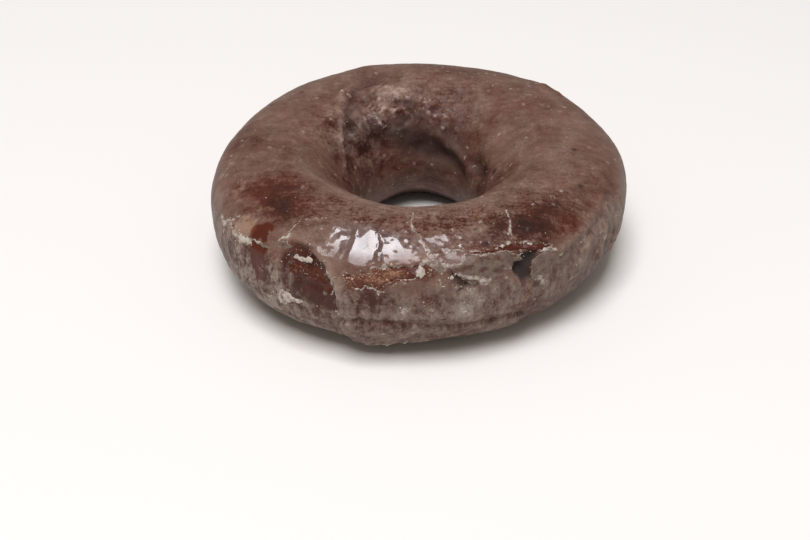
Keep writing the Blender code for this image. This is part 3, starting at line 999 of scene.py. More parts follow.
def crusted_sugar(rest, chart):
    """How thickly dried sugar lies at each place, from 0 to about 1."""
    lines = 1.1 * hump(line_distance(rest, chart, SUGAR_LINES, 19.0), 0.29)
    return np.maximum(spot_sum(rest, CRUSTED, highest=True), lines)


# %% [markdown]
# The hole.
# The far wall of the hole is the roughest place of all. The dough tore there when it was shaped, and
# glaze ran over the folds: knobs above, upright folds at the left, a fold with a pocket at the
# right, and a smooth wall below. The pocket, the folds, a band across that wall and the underside
# are darkened with painted shade, and the crests are painted pale as glints. The top ends in a
# ragged lip at the hole's left. At the floor the dough curves back, so a thin crescent of floor
# shows under it.

# %% Folds and knobs in the hole
# Section, and how far the dough curves back there in millimetres
BASE_OF_HOLE = (
    (158, 0), (168, 0.4), (180, 1.4), (190, 2.5), (200, 3.7), (210, 4.3), (220, 3.5), (230, 1.9),
    (240, 0.3), (248, 0),
)
# Radius in millimetres that turns degrees round the hole into a distance
HOLE_ROUND = 16.0
# Lines of the ragged lip, of the fold at the right, and of the pocket under it, darkened with painted shade
LIP = ((124, 84), (130, 90), (139, 106), (147, 122), (157, 132), (164, 144), (172, 152))
RIB = ((75, 152), (69.2, 156.1), (63.2, 159.8), (54.3, 162.4), (42.2, 166.7), (32.2, 171.4))
GROOVE = ((88, 163), (73.8, 166.1), (57.3, 170.4), (43.5, 176.9))
# Azimuth, section, reach in millimetres, height in millimetres
KNOBS = (
    (114.6, 101.5, 1.7, 0.8), (106.9, 87.6, 1.4, 0.5), (102.8, 117.2, 1.2, 0.7), (90.4, 108.1, 2, 0.7),
    (83.3, 129.8, 2.2, 0.8), (129.4, 93.3, 0.8, 0.4), (124.8, 91.8, 0.8, 0.5), (140, 122.4, 1, 0.5),
    (152.9, 136.1, 1, 0.5), (116.1, 119.5, 1.2, 0.7), (107.4, 146.6, 1.8, 0.8), (80.1, 164.2, 1.5, 0.5),
    (101.3, 160, 2.4, 0.5), (130.6, 163.5, 1.6, 0.5), (121, 108, 1.2, -0.7), (98, 100, 1.2, -0.5),
    (96, 126, 1, -0.6), (111, 129, 1.3, -0.8), (70, 122, 1.2, 0.5), (66, 134, 1.2, 0.6),
    (26, 162, 2.2, -1.2), (17, 166, 1.8, -0.9), (74, 112, 1.4, 0.5), (113, 102, 0.9, -0.7),
    (116.5, 120.3, 0.9, -0.7), (108, 123.6, 0.8, -0.6),
)
# Crests of the folds in the hole, raised a little and painted pale pink as glints: azimuth, section, reach in
# millimetres, strength
CRESTS_WITH_GLINTS = (
    (129.9, 89.4, 0.6, 1.2), (127.7, 95.4, 0.7, 1.2), (114.7, 113.3, 0.7, 1), (100.6, 105.6, 1.7, 0.85),
    (98.1, 116.8, 0.7, 1.1), (105, 112, 2.2, 0.72), (107.4, 101, 1.8, 0.7), (111.6, 95.7, 1.4, 0.65),
    (93.2, 104.8, 0.9, 0.6), (114.7, 123.8, 0.7, 1), (107.9, 126.9, 0.7, 1), (126.6, 124.7, 0.7, 0.7),
    (121.6, 136.7, 0.7, 1), (119.7, 141.3, 0.6, 0.8), (124, 130, 1.8, 0.6), (86, 124, 1.8, 0.6),
    (108.5, 146.6, 0.7, 0.8), (107, 151.5, 0.6, 0.7), (145.3, 123.3, 0.6, 1), (151.1, 128.6, 0.7, 1.2),
    (157.6, 132.4, 0.6, 1), (159.1, 137.6, 0.6, 1), (167.7, 150.1, 0.5, 0.9), (84.2, 132.8, 0.7, 0.9),
    (79, 135.2, 0.7, 0.9), (72.8, 133.2, 0.7, 0.9), (71.7, 143.9, 0.8, 0.8), (64.1, 159.2, 0.6, 0.8),
    (44.9, 154.4, 0.6, 0.9), (42.1, 162.2, 0.6, 0.8), (129.9, 160.8, 0.6, 0.8), (126, 165.6, 0.8, 0.6),
    (117.9, 166, 0.9, 0.5), (99.6, 167.2, 0.8, 0.6), (91.3, 174, 0.8, 0.4), (139.1, 145.2, 0.6, 0.6),
    (138.2, 152.4, 0.6, 0.7), (136.1, 157.3, 0.6, 0.6), (-142.4, 108.7, 0.6, 0.7), (-124, 110.4, 0.5, 0.7),
    (-56.8, 110.7, 0.5, 0.9),
)


def tuck_under(piece):
    """Rounds the foot of the hole, where the dough curves back above the floor."""
    points = np.empty(len(piece.data.vertices) * 3)
    piece.data.vertices.foreach_get("co", points)
    points = points.reshape(-1, 3) / MM
    azimuth, section = angles_of(points)
    less = np.interp(section % 360, *np.array(BASE_OF_HOLE).T)
    less *= 0.32 + 0.60 * hump(turn_from(azimuth, 92), 36)
    turn = np.radians(azimuth)
    circle = np.stack([np.cos(turn) * RING_RADIUS, np.sin(turn) * RING_RADIUS, turn * 0 + RING_HEIGHT], -1)
    outward = points - circle
    outward /= np.linalg.norm(outward, axis=1, keepdims=True)
    piece.data.vertices.foreach_set("co", ((points - outward * less[:, None]) * MM).ravel())
    piece.data.update()


def beside(azimuth, section, line):
    """Distance to a line in the hole in millimetres, and the same with a sign for its side."""
    place = np.stack([turn_from(azimuth, 100) * math.radians(HOLE_ROUND), section * CUT_PER_DEGREE], -1)
    corners = np.array(line)
    corners = np.stack([(corners[:, 0] - 100) * math.radians(HOLE_ROUND), corners[:, 1] * CUT_PER_DEGREE], -1)
    nearest, side = np.full(len(place), np.inf), np.zeros(len(place))
    for start, end in zip(corners[:-1], corners[1:]):
        edge = end - start
        share = np.clip((place - start) @ edge / (edge @ edge), 0, 1)
        away = place - start - share[:, None] * edge
        distance = np.linalg.norm(away, axis=1)
        across = (away @ np.array([-edge[1], edge[0]])) / np.linalg.norm(edge)
        side = np.where(distance < nearest, across, side)
        nearest = np.minimum(nearest, distance)
    return nearest, side


def hole_relief(rest, azimuth, section):
    """The height of the knobs, folds and lip in the hole, and the marks that its finish needs, among them
    painted shade and crests painted as glints.
    """
    far = hump(turn_from(azimuth, 104), 42) * hump(section - 118, 30)
    left = hump(turn_from(azimuth, 146), 22) * hump(section - 136, 30)
    rough = clouds(rest, 5.0, 30.0) * 0.8 + (0.45 - np.abs(clouds(rest, 3.4, 31.0)) * 2.0) * 0.6
    rough += clouds(rest, 1.8, 32.0) * 0.45 + clouds(rest, 0.9, 35.0) * 0.14
    around = turn_from(azimuth, 0) * math.radians(HOLE_ROUND)
    upright = np.stack([around / 1.4, section / 28, section * 0], -1)
    folds = 0.45 - np.abs(clouds(upright, 1.0, 33.0)) * 2.2
    nearest, side = beside(azimuth, section, LIP)
    ragged = 0.6 + clouds(rest, 1.2, 36.0)
    upper = smooth_rise(-section, -152, -128)
    lip = 0.45 * hump(nearest, 0.7) * ragged - 1.1 * smooth_rise(side, 0, 2.4) * hump(nearest, 5.0) * upper
    bent = 0.5 * clouds(rest, 3.0, 37.0)
    rib = hump(beside(azimuth, section, RIB)[0] + bent, 1.2) * 0.7
    rib -= hump(beside(azimuth, section, GROOVE)[0] + bent, 2.1) * 0.8
    recess = -0.9 * hump(turn_from(azimuth, 100), 46) * hump(section - 158, 12)
    height = far * rough + left * folds * 0.9 + lip + rib + recess + spot_sum(rest, KNOBS)
    # Painted shade: beside the lip, in the groove, in the pocket, in a band across the far wall and in the
    # pits between the knobs, with less of it on the knobs
    shade = 0.6 * smooth_rise(side, 0.3, 1.8) * hump(side - 2.0, 3.0) * hump(nearest, 6.0) * upper
    shade += 0.4 * hump(beside(azimuth, section, GROOVE)[0] + bent, 2.4)
    shade += 0.7 * hump(turn_from(azimuth, 20), 9) * hump(section - 165, 5)
    band = section - 154 + 0.25 * turn_from(azimuth, 94) + 5 * clouds(rest, 4.0, 38.0)
    shade += 1.0 * hump(turn_from(azimuth, 96), 50) * hump(band, 16)
    shade += far * (0.6 * smooth_rise(-rough, 0.1, 0.8) - 0.5 * smooth_rise(rough, 0.2, 0.9))
    # Crests of the ridged folds, painted pale as glints
    ridge = smooth_rise(0.45 - np.abs(clouds(rest, 3.4, 31.0)) * 2.0, 0.22, 0.44) * (far + left * 0.6)
    crest_and_glint = spot_sum(rest, CRESTS_WITH_GLINTS, highest=True)
    return SimpleNamespace(
        height=height + 0.22 * crest_and_glint,
        far=np.clip(far + left, 0, 1),
        lip=hump(nearest, 0.7),
        shade=shade,
        crest_and_glint=np.maximum(crest_and_glint, ridge * 0.62),
    )


# %% Sculpt the glaze
# Hollows beside the flap, sunk and darkened with painted shade: depth in millimetres, and outline
HOLLOWS = (
    (1.1, (
        (-63.6, 33.5), (-61.3, 37.1), (-59.7, 39.2), (-57.6, 39.1), (-56.3, 37), (-57.9, 33.1),
        (-58.6, 27.5), (-59.2, 18.3), (-61.3, 20), (-62.9, 26),
    )),
    (0.5, (
        (-82.2, 36.6), (-80.4, 34.5), (-79.2, 31.2), (-77.5, 28.6), (-76, 26.2), (-76.8, 24.4),
        (-78.8, 25.2), (-80.4, 29), (-81.8, 32.5),
    )),
)
# Lines of the ribs at the right rim, of the ledge low on the front wall and of the crease under it
RIM_RIDGES = (
    ((-26.1, 34), (-28.5, 24), (-30.5, 12), (-32, 2)),
    ((-34.7, 28.3), (-38.3, 22.4), (-41, 12), (-43, 4)),
    ((-16, 30), (-20, 18), (-23, 4)),
    ((-52, 31), (-43.2, 33.2), (-39.1, 34.8), (-33.9, 37.4), (-29.4, 38.1), (-24, 41.3)),
)
RIDGE = (
    (-110, 1.3), (-104.3, 3.5), (-96.4, 4.4), (-90.4, 2), (-83.8, -0.2), (-76.9, -1.6), (-69.6, -3),
    (-62, -5),
)
CREASE = (
    (-110.3, -4.5), (-104.3, -2.5), (-98.4, -2), (-92.4, -4), (-88.2, -7), (-81.3, -9.6), (-74.1, -11.5),
    (-66.5, -12.2), (-59, -14),
)
# Outline of the roll of glaze under the crease, and where it swells into a foot
ROLL = (
    (-110.2, -6), (-104.3, -4), (-98.4, -3.6), (-92.4, -5.6), (-88.2, -8.6), (-81.3, -11.2), (-74.1, -13),
    (-66.5, -14), (-59, -16), (-60, -34), (-80, -36), (-95, -36), (-104, -38), (-109, -30), (-110.4, -18),
)
FOOT_AZIMUTH = -105.5


def wall_relief(rest, chart):
    """The ledge, the crease and the roll of glaze low on the front wall, the hollow and the ribs."""
    moved = wandered(rest, chart, 2.5, 0.5, 90.0)
    ridge = hump(distance_to_line(moved, RIDGE), 0.7)
    crease = hump(distance_to_line(moved, CREASE), 0.5)
    roll = smooth_rise(distance_inside(moved, ROLL), -0.1, 0.35)
    foot = roll * hump(chart[:, 0] - (FOOT_AZIMUTH - FRONT) * ROUND_PER_DEGREE, 4.0)
    hollow = sum(deep * smooth_rise(distance_inside(moved, outline), -0.9, 0.7) for deep, outline in HOLLOWS)
    height = 0.18 * ridge - 0.20 * crease + 0.38 * roll + 0.40 * foot - hollow
    ribs = hump(np.min([distance_to_line(moved, line) for line in RIM_RIDGES], axis=0), 0.8)
    height += 0.6 * ribs
    ridge += 1.8 * ribs
    return SimpleNamespace(height=height, ridge=ridge, crease=crease, roll=roll, hollow=hollow)


def plated_front(rest, normals, chart, bare):
    """Heights that draw the glaze of the front shoulder flat, plate by plate, and leave it uneven."""
    azimuth, section = angles_of(rest)
    flat = plates(rest, normals, wandered(rest, chart, 1.6, 0.6, 8.0))
    flat *= 1 - smooth_rise(bare, -0.5, 0.0)
    uneven = 0.55 + 0.75 * smooth_rise(np.abs(turn_from(azimuth, -106)), 3, 8)
    where = hump(turn_from(azimuth, -98), 34) * smooth_rise(section, 34, 39)
    where *= smooth_rise(-section, -92, -70)
    return where * (flat + clouds(rest, 1.5, 64.0) * 0.07 * uneven)


def finish_marks(azimuth, section, hole, wall, sheen_swoosh):
    """The marks that only the glaze's material reads: its gloss, its milk, where it is lively, and where
    shade is painted.
    """
    lap = section % 360
    right = hump(turn_from(azimuth, -30), 26)
    outside = smooth_rise(23 + 13 * right - section, -11 + 4 * right, 11 - 4 * right) * (section > -130)
    in_hole = smooth_rise(lap, 116, 142)
    low = smooth_rise(lap, 176, 200) * (lap < 260)
    # Painted shade on the underside of the foot in the hole
    underside_shade = smooth_rise(lap, 203, 214) * (lap < 262)
    front = hump(turn_from(azimuth, -107), 13) * hump(section - 58, 17)
    right_front = hump(turn_from(azimuth, -76), 24) * hump(section - 58, 18)
    # Gloss sets the roughness and the coat, and also the painted lilac sheen
    gloss = 1.3 * front + 0.30 * hole.far + 0.66 * right_front + 0.5 * sheen_swoosh
    # Milk: less in the hole, where the glaze is clearer and the shade inside is painted in as well; more on
    # the ridges and the roll; less in the hollows, as painted shade; more along the swoosh, as its painted
    # sheen
    milk = 0.33 + 0.08 * outside - 0.16 * in_hole + 0.10 * low + 0.08 * hole.far + 0.15 * hole.lip
    milk += 0.12 * wall.ridge - 0.12 * wall.hollow + 0.12 * wall.roll + 0.38 * sheen_swoosh
    mottled = 1.3 * hump(turn_from(azimuth, -138), 24) + 0.15 * hump(turn_from(azimuth, -60), 16)
    return {
        "gloss": np.clip(gloss, 0, 1),
        "milk": milk + soft_marks(azimuth, section, PATCHES),
        "red": 0.28 - 0.25 * outside - 0.10 * in_hole + soft_marks(azimuth, section, PATCHES, 5),
        "wall": outside,
        "busy": hump(turn_from(azimuth, -88), 55) * hump(section - 80, 34),
        "calm": 0.8 * hump(turn_from(azimuth, -32), 34),
        "mottled": mottled * outside,
        # Painted shade: in the crease, in the hollows, in the hole and under the foot
        "deep": np.clip(0.2 * wall.crease + 0.8 * wall.hollow + hole.shade + underside_shade, 0, 1),
    }


# Heights and depths in millimetres
EDGE_SWELL = 0.18
GONE_DEPTH = 1.1
CRACK_DEPTH = 0.14
VEIN_HEIGHT = 0.06
SUGAR_HEIGHT = 0.30
SWOOSH_HEIGHT = 0.20


def sculpt_glaze(piece):
    """Breaks the glaze where it is bare, thickens its edges, flattens its plates and folds the hole."""
    rest, normals, chart = ring_arrays(piece)
    azimuth, section = angles_of(rest)
    gone = broken_edge(rest, chart)
    thin, panel = thin_glaze(rest, chart)
    bare = np.maximum(gone, panel)
    soft_side = distance_to_line(chart, SOFT_SIDE)
    soft = hump(soft_side, SOFT_REACH)
    smooth = 0.34 * hump(distance_to_line(chart, SMOOTH_SIDE), 1.2)
    crack = line_distance(rest, chart, DARK_CRACKS, 13.0)
    vein = line_distance(rest, chart, PALE_VEINS, 17.0)
    crusted = crusted_sugar(rest, chart)
    sheen_swoosh = hump(distance_to_line(wandered(rest, chart, 2.5, 0.4, 55.0), SWOOSH), 0.95)
    sheen_swoosh *= 0.75 + 0.5 * clouds(rest, 1.3, 56.0)
    hole = hole_relief(rest, azimuth, section)
    wall = wall_relief(rest, chart)
    fill = smooth_rise(bare, -2.0, -0.1) * (1 - soft)
    sunk = smooth_rise(panel, -0.15, 0.35) * (1 - hump(soft_side, SUNK_REACH))
    dents = 0.14 * clouds(rest, 4.0, 60.0) + 0.07 * clouds(rest, 1.4, 61.0)
    height = hole.height + wall.height + dents * smooth_rise(-section, -30, 0)
    height += plated_front(rest, normals, chart, bare)
    height += EDGE_SWELL * fill * (0.6 + clouds(rest, 1.5, 66.0))
    height -= GONE_DEPTH * smooth_rise(gone, -0.1, 0.45) + CRACK_DEPTH * hump(crack, 0.35)
    height -= sunk * (0.55 + clouds(rest, 1.3, 67.0) * 0.25)
    height += SWOOSH_HEIGHT * sheen_swoosh + VEIN_HEIGHT * hump(vein, 0.35)
    height += SUGAR_HEIGHT * crusted * (0.5 + clouds(rest, 0.5, 51.0))
    height += spot_sum(rest, BUMPS + tuple((*place, GLINT_REACH, GLINT_HEIGHT) for place in GLINTS))
    raise_ring(piece, normals, height)
    marks = {
        "bare": bare,
        "thin": thin,
        "panel": smooth_rise(panel, -2.6, -1.4),
        "soft": np.maximum(soft, smooth),
        "crack": crack,
        "vein": vein,
        "crusted": crusted,
        "crest_and_glint": hole.crest_and_glint,
        "torn": hole.far,
        "hollow": np.clip(wall.hollow, 0, 1),
        "haze": soft_marks(azimuth, section, HAZE),
        "warm": soft_marks(azimuth, section, WARM_GLAZE),
        "crust_warm": soft_marks(azimuth, section, WARM_CRUST),
        **finish_marks(azimuth, section, hole, wall, sheen_swoosh),
    }
    for name, values in marks.items():
        store(piece, name, values)
    print("glaze gone from", int((gone > 0).sum()), "vertices, thin over", int((thin > 0).sum()))


def smooth_surface(piece):
    """A tree of a ring's faces that rays can be thrown at."""
    corners = [vertex.co / MM for vertex in piece.data.vertices]
    return BVHTree.FromPolygons(corners, [tuple(face.vertices) for face in piece.data.polygons])


def lay_on_ring(places):
    """Points and normals of the smooth ring under places in the chart, in millimetres."""
    azimuth = np.radians(places[:, 0] / ROUND_PER_DEGREE + FRONT)
    section = np.radians(places[:, 1] / CUT_PER_DEGREE)
    spots, normals = [], []
    for turn, rise in zip(azimuth, section):
        level = Vector((math.cos(turn), math.sin(turn), 0))
        circle = level * RING_RADIUS + Vector((0, 0, RING_HEIGHT))
        outward = level * math.cos(rise) + Vector((0, 0, math.sin(rise)))
        spot, normal = SURFACE.ray_cast(circle, outward)[:2]
        spots.append(spot)
        normals.append(normal if normal.dot(outward) > 0 else -normal)
    return np.array(spots), np.array(normals)


tuck_under(glaze)
tuck_under(crust)
SURFACE = smooth_surface(glaze)
sculpt_glaze(glaze)


# %% Sculpt the crust
def sculpt_crust(piece):
    """Sinks the crust under the glaze, and roughens it where the band tore."""
    rest, normals, chart = ring_arrays(piece)
    azimuth, section = angles_of(rest)
    gone = broken_edge(rest, chart)
    torn = np.max([distance_inside(chart, outline) for outline in BARE_OUTLINES.values()], axis=0)
    torn = smooth_rise(torn, -0.6, 0.4)
    height = -2.2 + (2.14 + 0.24 * torn) * smooth_rise(gone, -1.2, 0.1)
    height += torn * (clouds(rest, 1.1, 40.0) * 0.36 + clouds(rest, 0.5, 41.0) * 0.20)
    raise_ring(piece, normals, height)
    store(piece, "torn", torn)
    store(piece, "warm", soft_marks(azimuth, section, WARM_CRUST))


sculpt_crust(crust)

# %% [markdown]
# Loose plates of glaze.
# Some plates of broken glaze still hang on: a torn flap that stands off the wall, small flakes,
# lumps of dried sugar, and a foot where the glaze ran down and set. Each has its own thickness and
# its own ragged rim, which a push of the skin can't give. So each is a separate closed plate: its
# outline is filled with triangles in the flat chart, laid on the ring, and given a back and a rim.

# %% The material of broken glaze
def make_shard_material():
    """Broken glaze: like the glaze where its tone is low, and dry sugar at its rim and where it is high."""
    material, shader, start = new_material("broken_glaze")
    place, rim, tone = mark(start, "rest", "Vector"), mark(start, "rim"), mark(start, "tone")
    streak = (place * (0.45, 0.9, 1.3)).cloud(0.8, 5.0, 0.68)
    patch = place.cloud(1.6, 5.0, 0.68)
    uneven = (0.5 + tone * 6).limited()
    milk = (0.42 + (patch + streak - 1.0) * uneven * 1.6).limited()
    colour = milk.mixed(GLAZE_DARK, GLAZE_MILK)
    beige = (tone * 2.4 + (patch + streak - 1.0) * (tone * 4).limited() * 1.6).limited() * 0.9
    colour = beige.mixed(colour, FLAP_BEIGE)
    dry = (tone + mark(start, "dust") + (patch - 0.5) * 1.6 + (streak - 0.5) * 0.8).rise(0.45, 0.95)
    colour = (dry * 0.9).mixed(colour, SUGAR_WHITE)
    # Dark streaks in the broken glaze, and painted shade between its wrinkles
    dark = ((place + 5.0).cloud(1.4, 5.0, 0.7) + (streak - 0.5) * 0.9 - mark(start, "fold_shade") * 0.35)
    dark = dark.rise(0.48, 0.74) * (1 - dry) * uneven
    colour = (dark * 0.75).mixed(colour, GLAZE_DARK)
    pale = (rim + (patch - 0.5) * 1.6).rise(0.28, 0.02) * (place + 9.0).cloud(1.2, 2.0).rise(0.42, 0.52)
    colour = (pale * (tone * 2 + 0.15).limited() * 0.8).mixed(colour, SUGAR_WHITE)
    height = (streak - 0.5) * 0.14 + (patch - 0.5) * 0.2 + (place.cloud(0.3, 2.0) - 0.5) * 0.05
    feed(shader, {"Base Color": colour, "Roughness": 0.40 + pale * 0.25, "Normal": bumped(height)})
    feed(shader, {"Specular IOR Level": 0.25})
    return material


# %% Outlines of the loose plates: thickness, lift at the bottom and top, tone, and corners
SHARDS = {
    "torn_flap": (0.30, -0.50, 0.62, 0.26, (
        (-83.5, 40.6), (-82.1, 41.6), (-78.7, 41.9), (-77.4, 44.4), (-76, 46.3), (-73.7, 44.8),
        (-69.6, 44.8), (-67.2, 45), (-64.2, 43.2), (-61.1, 40.5), (-59.6, 40.2), (-60.6, 37.6),
        (-59.9, 35), (-61.6, 35.8), (-63.2, 35.2), (-63.9, 33), (-64.2, 29.2), (-65.2, 31.8),
        (-66.6, 30), (-67.6, 26), (-69, 22.8), (-72, 20), (-74.6, 22.6), (-76.3, 26.8),
        (-78.4, 30.8), (-79.9, 33.6), (-81.2, 37),
    )),
    "curl_of_the_second_flap": (0.34, 0, 0.25, 0.60, (
        (-55.6, 36.6), (-53.6, 38), (-51.6, 37.2), (-49, 33.6), (-47.2, 28.6), (-48.1, 26.4),
        (-49.4, 28.8), (-51, 32.6), (-53.2, 34.4),
    )),
    "second_flap": (0.34, -0.55, 0.50, 0, (
        (-58.6, 20), (-58.4, 27.3), (-57.9, 31.8), (-56.8, 34.4), (-54.9, 36.6), (-52.1, 36),
        (-49.4, 32.7), (-48.2, 28), (-48.6, 21), (-50.4, 12), (-53, 5), (-56.2, 6), (-58, 12),
    )),
    "milky_plate": (0.30, -0.25, 0.20, 0.16, (
        (-133.2, 32.6), (-131.8, 36.1), (-129.8, 37.9), (-127.8, 38.9), (-125.8, 36.6), (-127.2, 34.2),
        (-129.2, 32.7), (-131.9, 30.8),
    )),
    "beige_strip": (0.22, 0, 0.20, 0.34, (
        (-138.8, 27.6), (-138, 29.4), (-135.4, 30.4), (-132.6, 30.4), (-131.4, 29.4), (-134, 28.6),
        (-136.4, 28.2),
    )),
    "white_mass": (0.26, 0, 0.12, 0.80, (
        (-143.6, 25), (-142.3, 26.8), (-140.2, 27.4), (-138.4, 28), (-137.6, 26.2), (-139, 24.4),
        (-141.4, 24),
    )),
    "dried_drip": (0.32, 0, 0.12, 0.78, (
        (-127.5, 2.1), (-126.6, 6), (-124.7, 8), (-123.6, 4.4), (-122.2, 2.6), (-120.2, 3),
        (-121.3, 0.9), (-123.6, 0.6), (-125.5, -4.8), (-127.2, -5.6),
    )),
    "flake_in_the_panel": (0.30, -0.15, 0.20, 0.80, (
        (-124.4, 31.5), (-123.7, 33.6), (-122.2, 33.4), (-120.6, 34.3), (-118.9, 34.3), (-119.1, 31.9),
        (-120.1, 30.4), (-121.3, 31), (-122.5, 30.8), (-123.6, 30.5),
    )),
    "lump_in_the_torn_band": (0.50, 0.05, 0.25, 0.90, (
        (-91, 35), (-90.6, 39), (-89.6, 41.3), (-88.6, 38.6), (-88.2, 35.6), (-89.4, 33.4),
    )),
    "lump_beside_the_flap": (0.40, 0.05, 0.25, 0.42, (
        (-88.6, 43.6), (-87.4, 46.3), (-85.6, 44.8), (-83.6, 42.4), (-82, 40.4), (-82.4, 37.8),
        (-84.8, 36.9), (-86.6, 39.6), (-87.8, 41.4),
    )),
}
# Sugar dust on the loose plates: azimuth, section, reach in millimetres, strength
DUST = (
    (-79.6, 35.2, 0.6, 0.4), (-78.2, 33, 0.7, 0.45), (-76.6, 31, 0.7, 0.4), (-74.6, 30.4, 0.9, 0.4),
    (-73.4, 27.4, 1, 0.5), (-71.4, 26.4, 1.1, 0.4), (-65.4, 32.6, 0.8, 0.3), (-64.3, 30.6, 0.7, 0.4),
    (-72.4, 44.6, 0.6, 0.4), (-60.2, 39.6, 0.7, 0.4), (-55, 35.6, 1, 0.5), (-58, 31, 0.5, 0.4),
    (-55.5, 15, 1.3, 0.8), (-82.5, 41, 1, 0.4),
)
# Small flakes: azimuth, section, length, width, turn in degrees, lift, tone
FLAKES = (
    (-125.8, 31.6, 0.7, 0.4, 20, 0.1, 0.6), (-114.1, 29.2, 0.8, 0.7, 40, 0.15, 0.9),
    (-111.8, 27.6, 0.6, 0.4, 0, 0.15, 0.8), (-108.9, 31.4, 0.8, 0.4, -10, 0.15, 0.9),
    (-104.2, 33.4, 0.7, 0.4, 5, 0.2, 0.9), (-99.3, 38.8, 1.6, 1.1, 5, 0.2, 0.8),
    (-102, 24.6, 1.8, 0.4, -12, 0.05, 0.7), (-81.5, 32.9, 0.9, 0.8, 0, 0.1, 0.9),
    (-80.6, 35.7, 0.6, 0.5, 0, 0.1, 0.8), (-63.2, 49.2, 1.2, 0.5, 20, 0.25, 0.9),
    (-65.8, 47.6, 1, 0.5, 40, 0.25, 0.9), (-57, 44.6, 1.2, 0.5, -25, 0.25, 0.9),
    (-59.3, 47.3, 0.6, 0.4, 0, 0.25, 0.8), (-76.8, 23, 1.4, 0.9, 10, 0, 0.5),
    (-80, 25.6, 1.3, 0.7, 10, 0, 0.5), (-98.9, -34, 1, 1.2, 0, 0.2, 0.7),
)
# How far a plate's right side sinks into the glaze, in millimetres
SINKS_AT_THE_RIGHT = {"second_flap": 0.9}
SHARD_CELL = 0.26
SHARD_RAGGED = 0.42


def ragged_outline(corners, seed):
    """An outline with a point every cell, moved in and out by noise."""
    points = []
    for start, end in zip(corners, np.roll(corners, -1, axis=0)):
        steps = max(int(np.linalg.norm(end - start) / SHARD_CELL), 1)
        points += [start + (end - start) * step / steps for step in range(steps)]
    points = np.array(points)
    spots = np.column_stack([points, np.full(len(points), seed)])
    moves = np.stack([clouds(spots, 0.9, 2.0), clouds(spots, 0.9, 7.0)], -1) * SHARD_RAGGED
    moves += np.stack([clouds(spots, 0.4, 3.0), clouds(spots, 0.4, 9.0)], -1) * SHARD_RAGGED * 0.6
    return points + moves


def fill_outline(outline, seed):
    """Triangles inside an outline in the chart, about a cell wide."""
    low, high = outline.min(0), outline.max(0)
    steps = np.maximum(((high - low) / SHARD_CELL).astype(int), 1)
    grid = np.stack(np.meshgrid(*[np.linspace(a, b, n + 1) for a, b, n in zip(low, high, steps)]), -1)
    grid = grid.reshape(-1, 2)
    spots = np.column_stack([grid, np.full(len(grid), seed)])
    grid = grid + np.stack([clouds(spots, 0.5, 4.0), clouds(spots, 0.5, 6.0)], -1) * SHARD_CELL * 0.5
    rim = np.stack([outline[:, 0] / ROUND_PER_DEGREE + FRONT, outline[:, 1] / CUT_PER_DEGREE], -1)
    inner = grid[distance_inside(grid, rim) > SHARD_CELL * 0.6]
    points = [Vector(point) for point in np.vstack([outline, inner])]
    count = len(outline)
    edges = [(step, (step + 1) % count) for step in range(count)]
    made = geometry.delaunay_2d_cdt(points, edges, [], 1, 1e-5)
    return np.array([tuple(point) for point in made[0]]), made[2], rim


def plate_lift(name, places, spots, seed, low, high):
    """How far a plate's underside stands off the ring, in millimetres, more at its top."""
    across, up = ((places - places.min(0)) / np.ptp(places, axis=0)).T
    lift = low + (high - low) * up**1.5 + clouds(spots, 2.0, seed) * 0.10
    return lift - SINKS_AT_THE_RIGHT.get(name, 0.0) * smooth_rise(across, 0.35, 1.0)


def plate_body(places, spots, inside, thickness, seed):
    """A plate's thickness with its wrinkles, and its dust and folds."""
    dust = spot_sum(spots, DUST)
    level = np.column_stack([places[:, 0] * 0.35, places[:, 1], np.full(len(places), seed)])
    folds = 0.3 - np.abs(clouds(level, 1.3, seed)) * 1.4 + clouds(level, 0.6, seed) * 0.4
    wrinkles = (folds * 0.22 + dust * (0.30 + clouds(spots, 0.8, 1.0) * 0.3)) * (thickness > 0.2)
    dome = thickness * (0.45 + 0.55 * smooth_rise(inside, 0.0, 0.6))
    dome *= 1 + 0.4 * clouds(spots, 1.0, seed + 3)
    return dome + wrinkles * smooth_rise(inside, 0.0, 0.5), dust, folds


def make_shard(name, seed, thickness, lift_low, lift_high, tone, corners):
    """A closed ragged plate laid on the ring, lifted more at its top than at its bottom."""
    outline = ragged_outline(to_chart(*np.array(corners).T), seed)
    places, faces, rim = fill_outline(outline, seed)
    spots, normals = lay_on_ring(places)
    inside = distance_inside(places, rim)
    lift = plate_lift(name, places, spots, seed, lift_low, lift_high)
    body, dust, folds = plate_body(places, spots, inside, thickness, seed)
    top = spots + normals * (lift + body)[:, None]
    bottom = spots + normals * lift[:, None]
    points = np.clip(np.vstack([top, bottom]) * MM, LOW, HIGH)
    count = len(places)
    upper = [tuple(face) for face in faces]
    lower = [tuple(corner + count for corner in reversed(face)) for face in faces]
    mesh = bpy.data.meshes.new(name)
    mesh.from_pydata(points.tolist(), [], upper + lower + rim_walls(faces, count))
    mesh.shade_smooth()
    piece = bpy.data.objects.new(name, mesh)
    bpy.context.scene.collection.objects.link(piece)
    rest = mesh.attributes.new("rest", "FLOAT_VECTOR", "POINT")
    rest.data.foreach_set("vector", (points / MM).astype(np.float32).ravel())
    store(piece, "rim", np.concatenate([inside, inside * 0]))
    store(piece, "tone", np.full(count * 2, tone))
    store(piece, "dust", np.tile(dust, 2))
    # The wrinkles, between which the material paints shade
    store(piece, "fold_shade", np.tile(folds, 2))
    return piece


def rim_walls(faces, count):
    """Faces that join a plate's top to its bottom along its rim."""
    edges = {}
    for face in faces:
        for first, second in zip(face, list(face[1:]) + [face[0]]):
            edges[(first, second)] = True
    rim = [pair for pair in edges if pair[::-1] not in edges]
    return [(second, first, first + count, second + count) for first, second in rim]


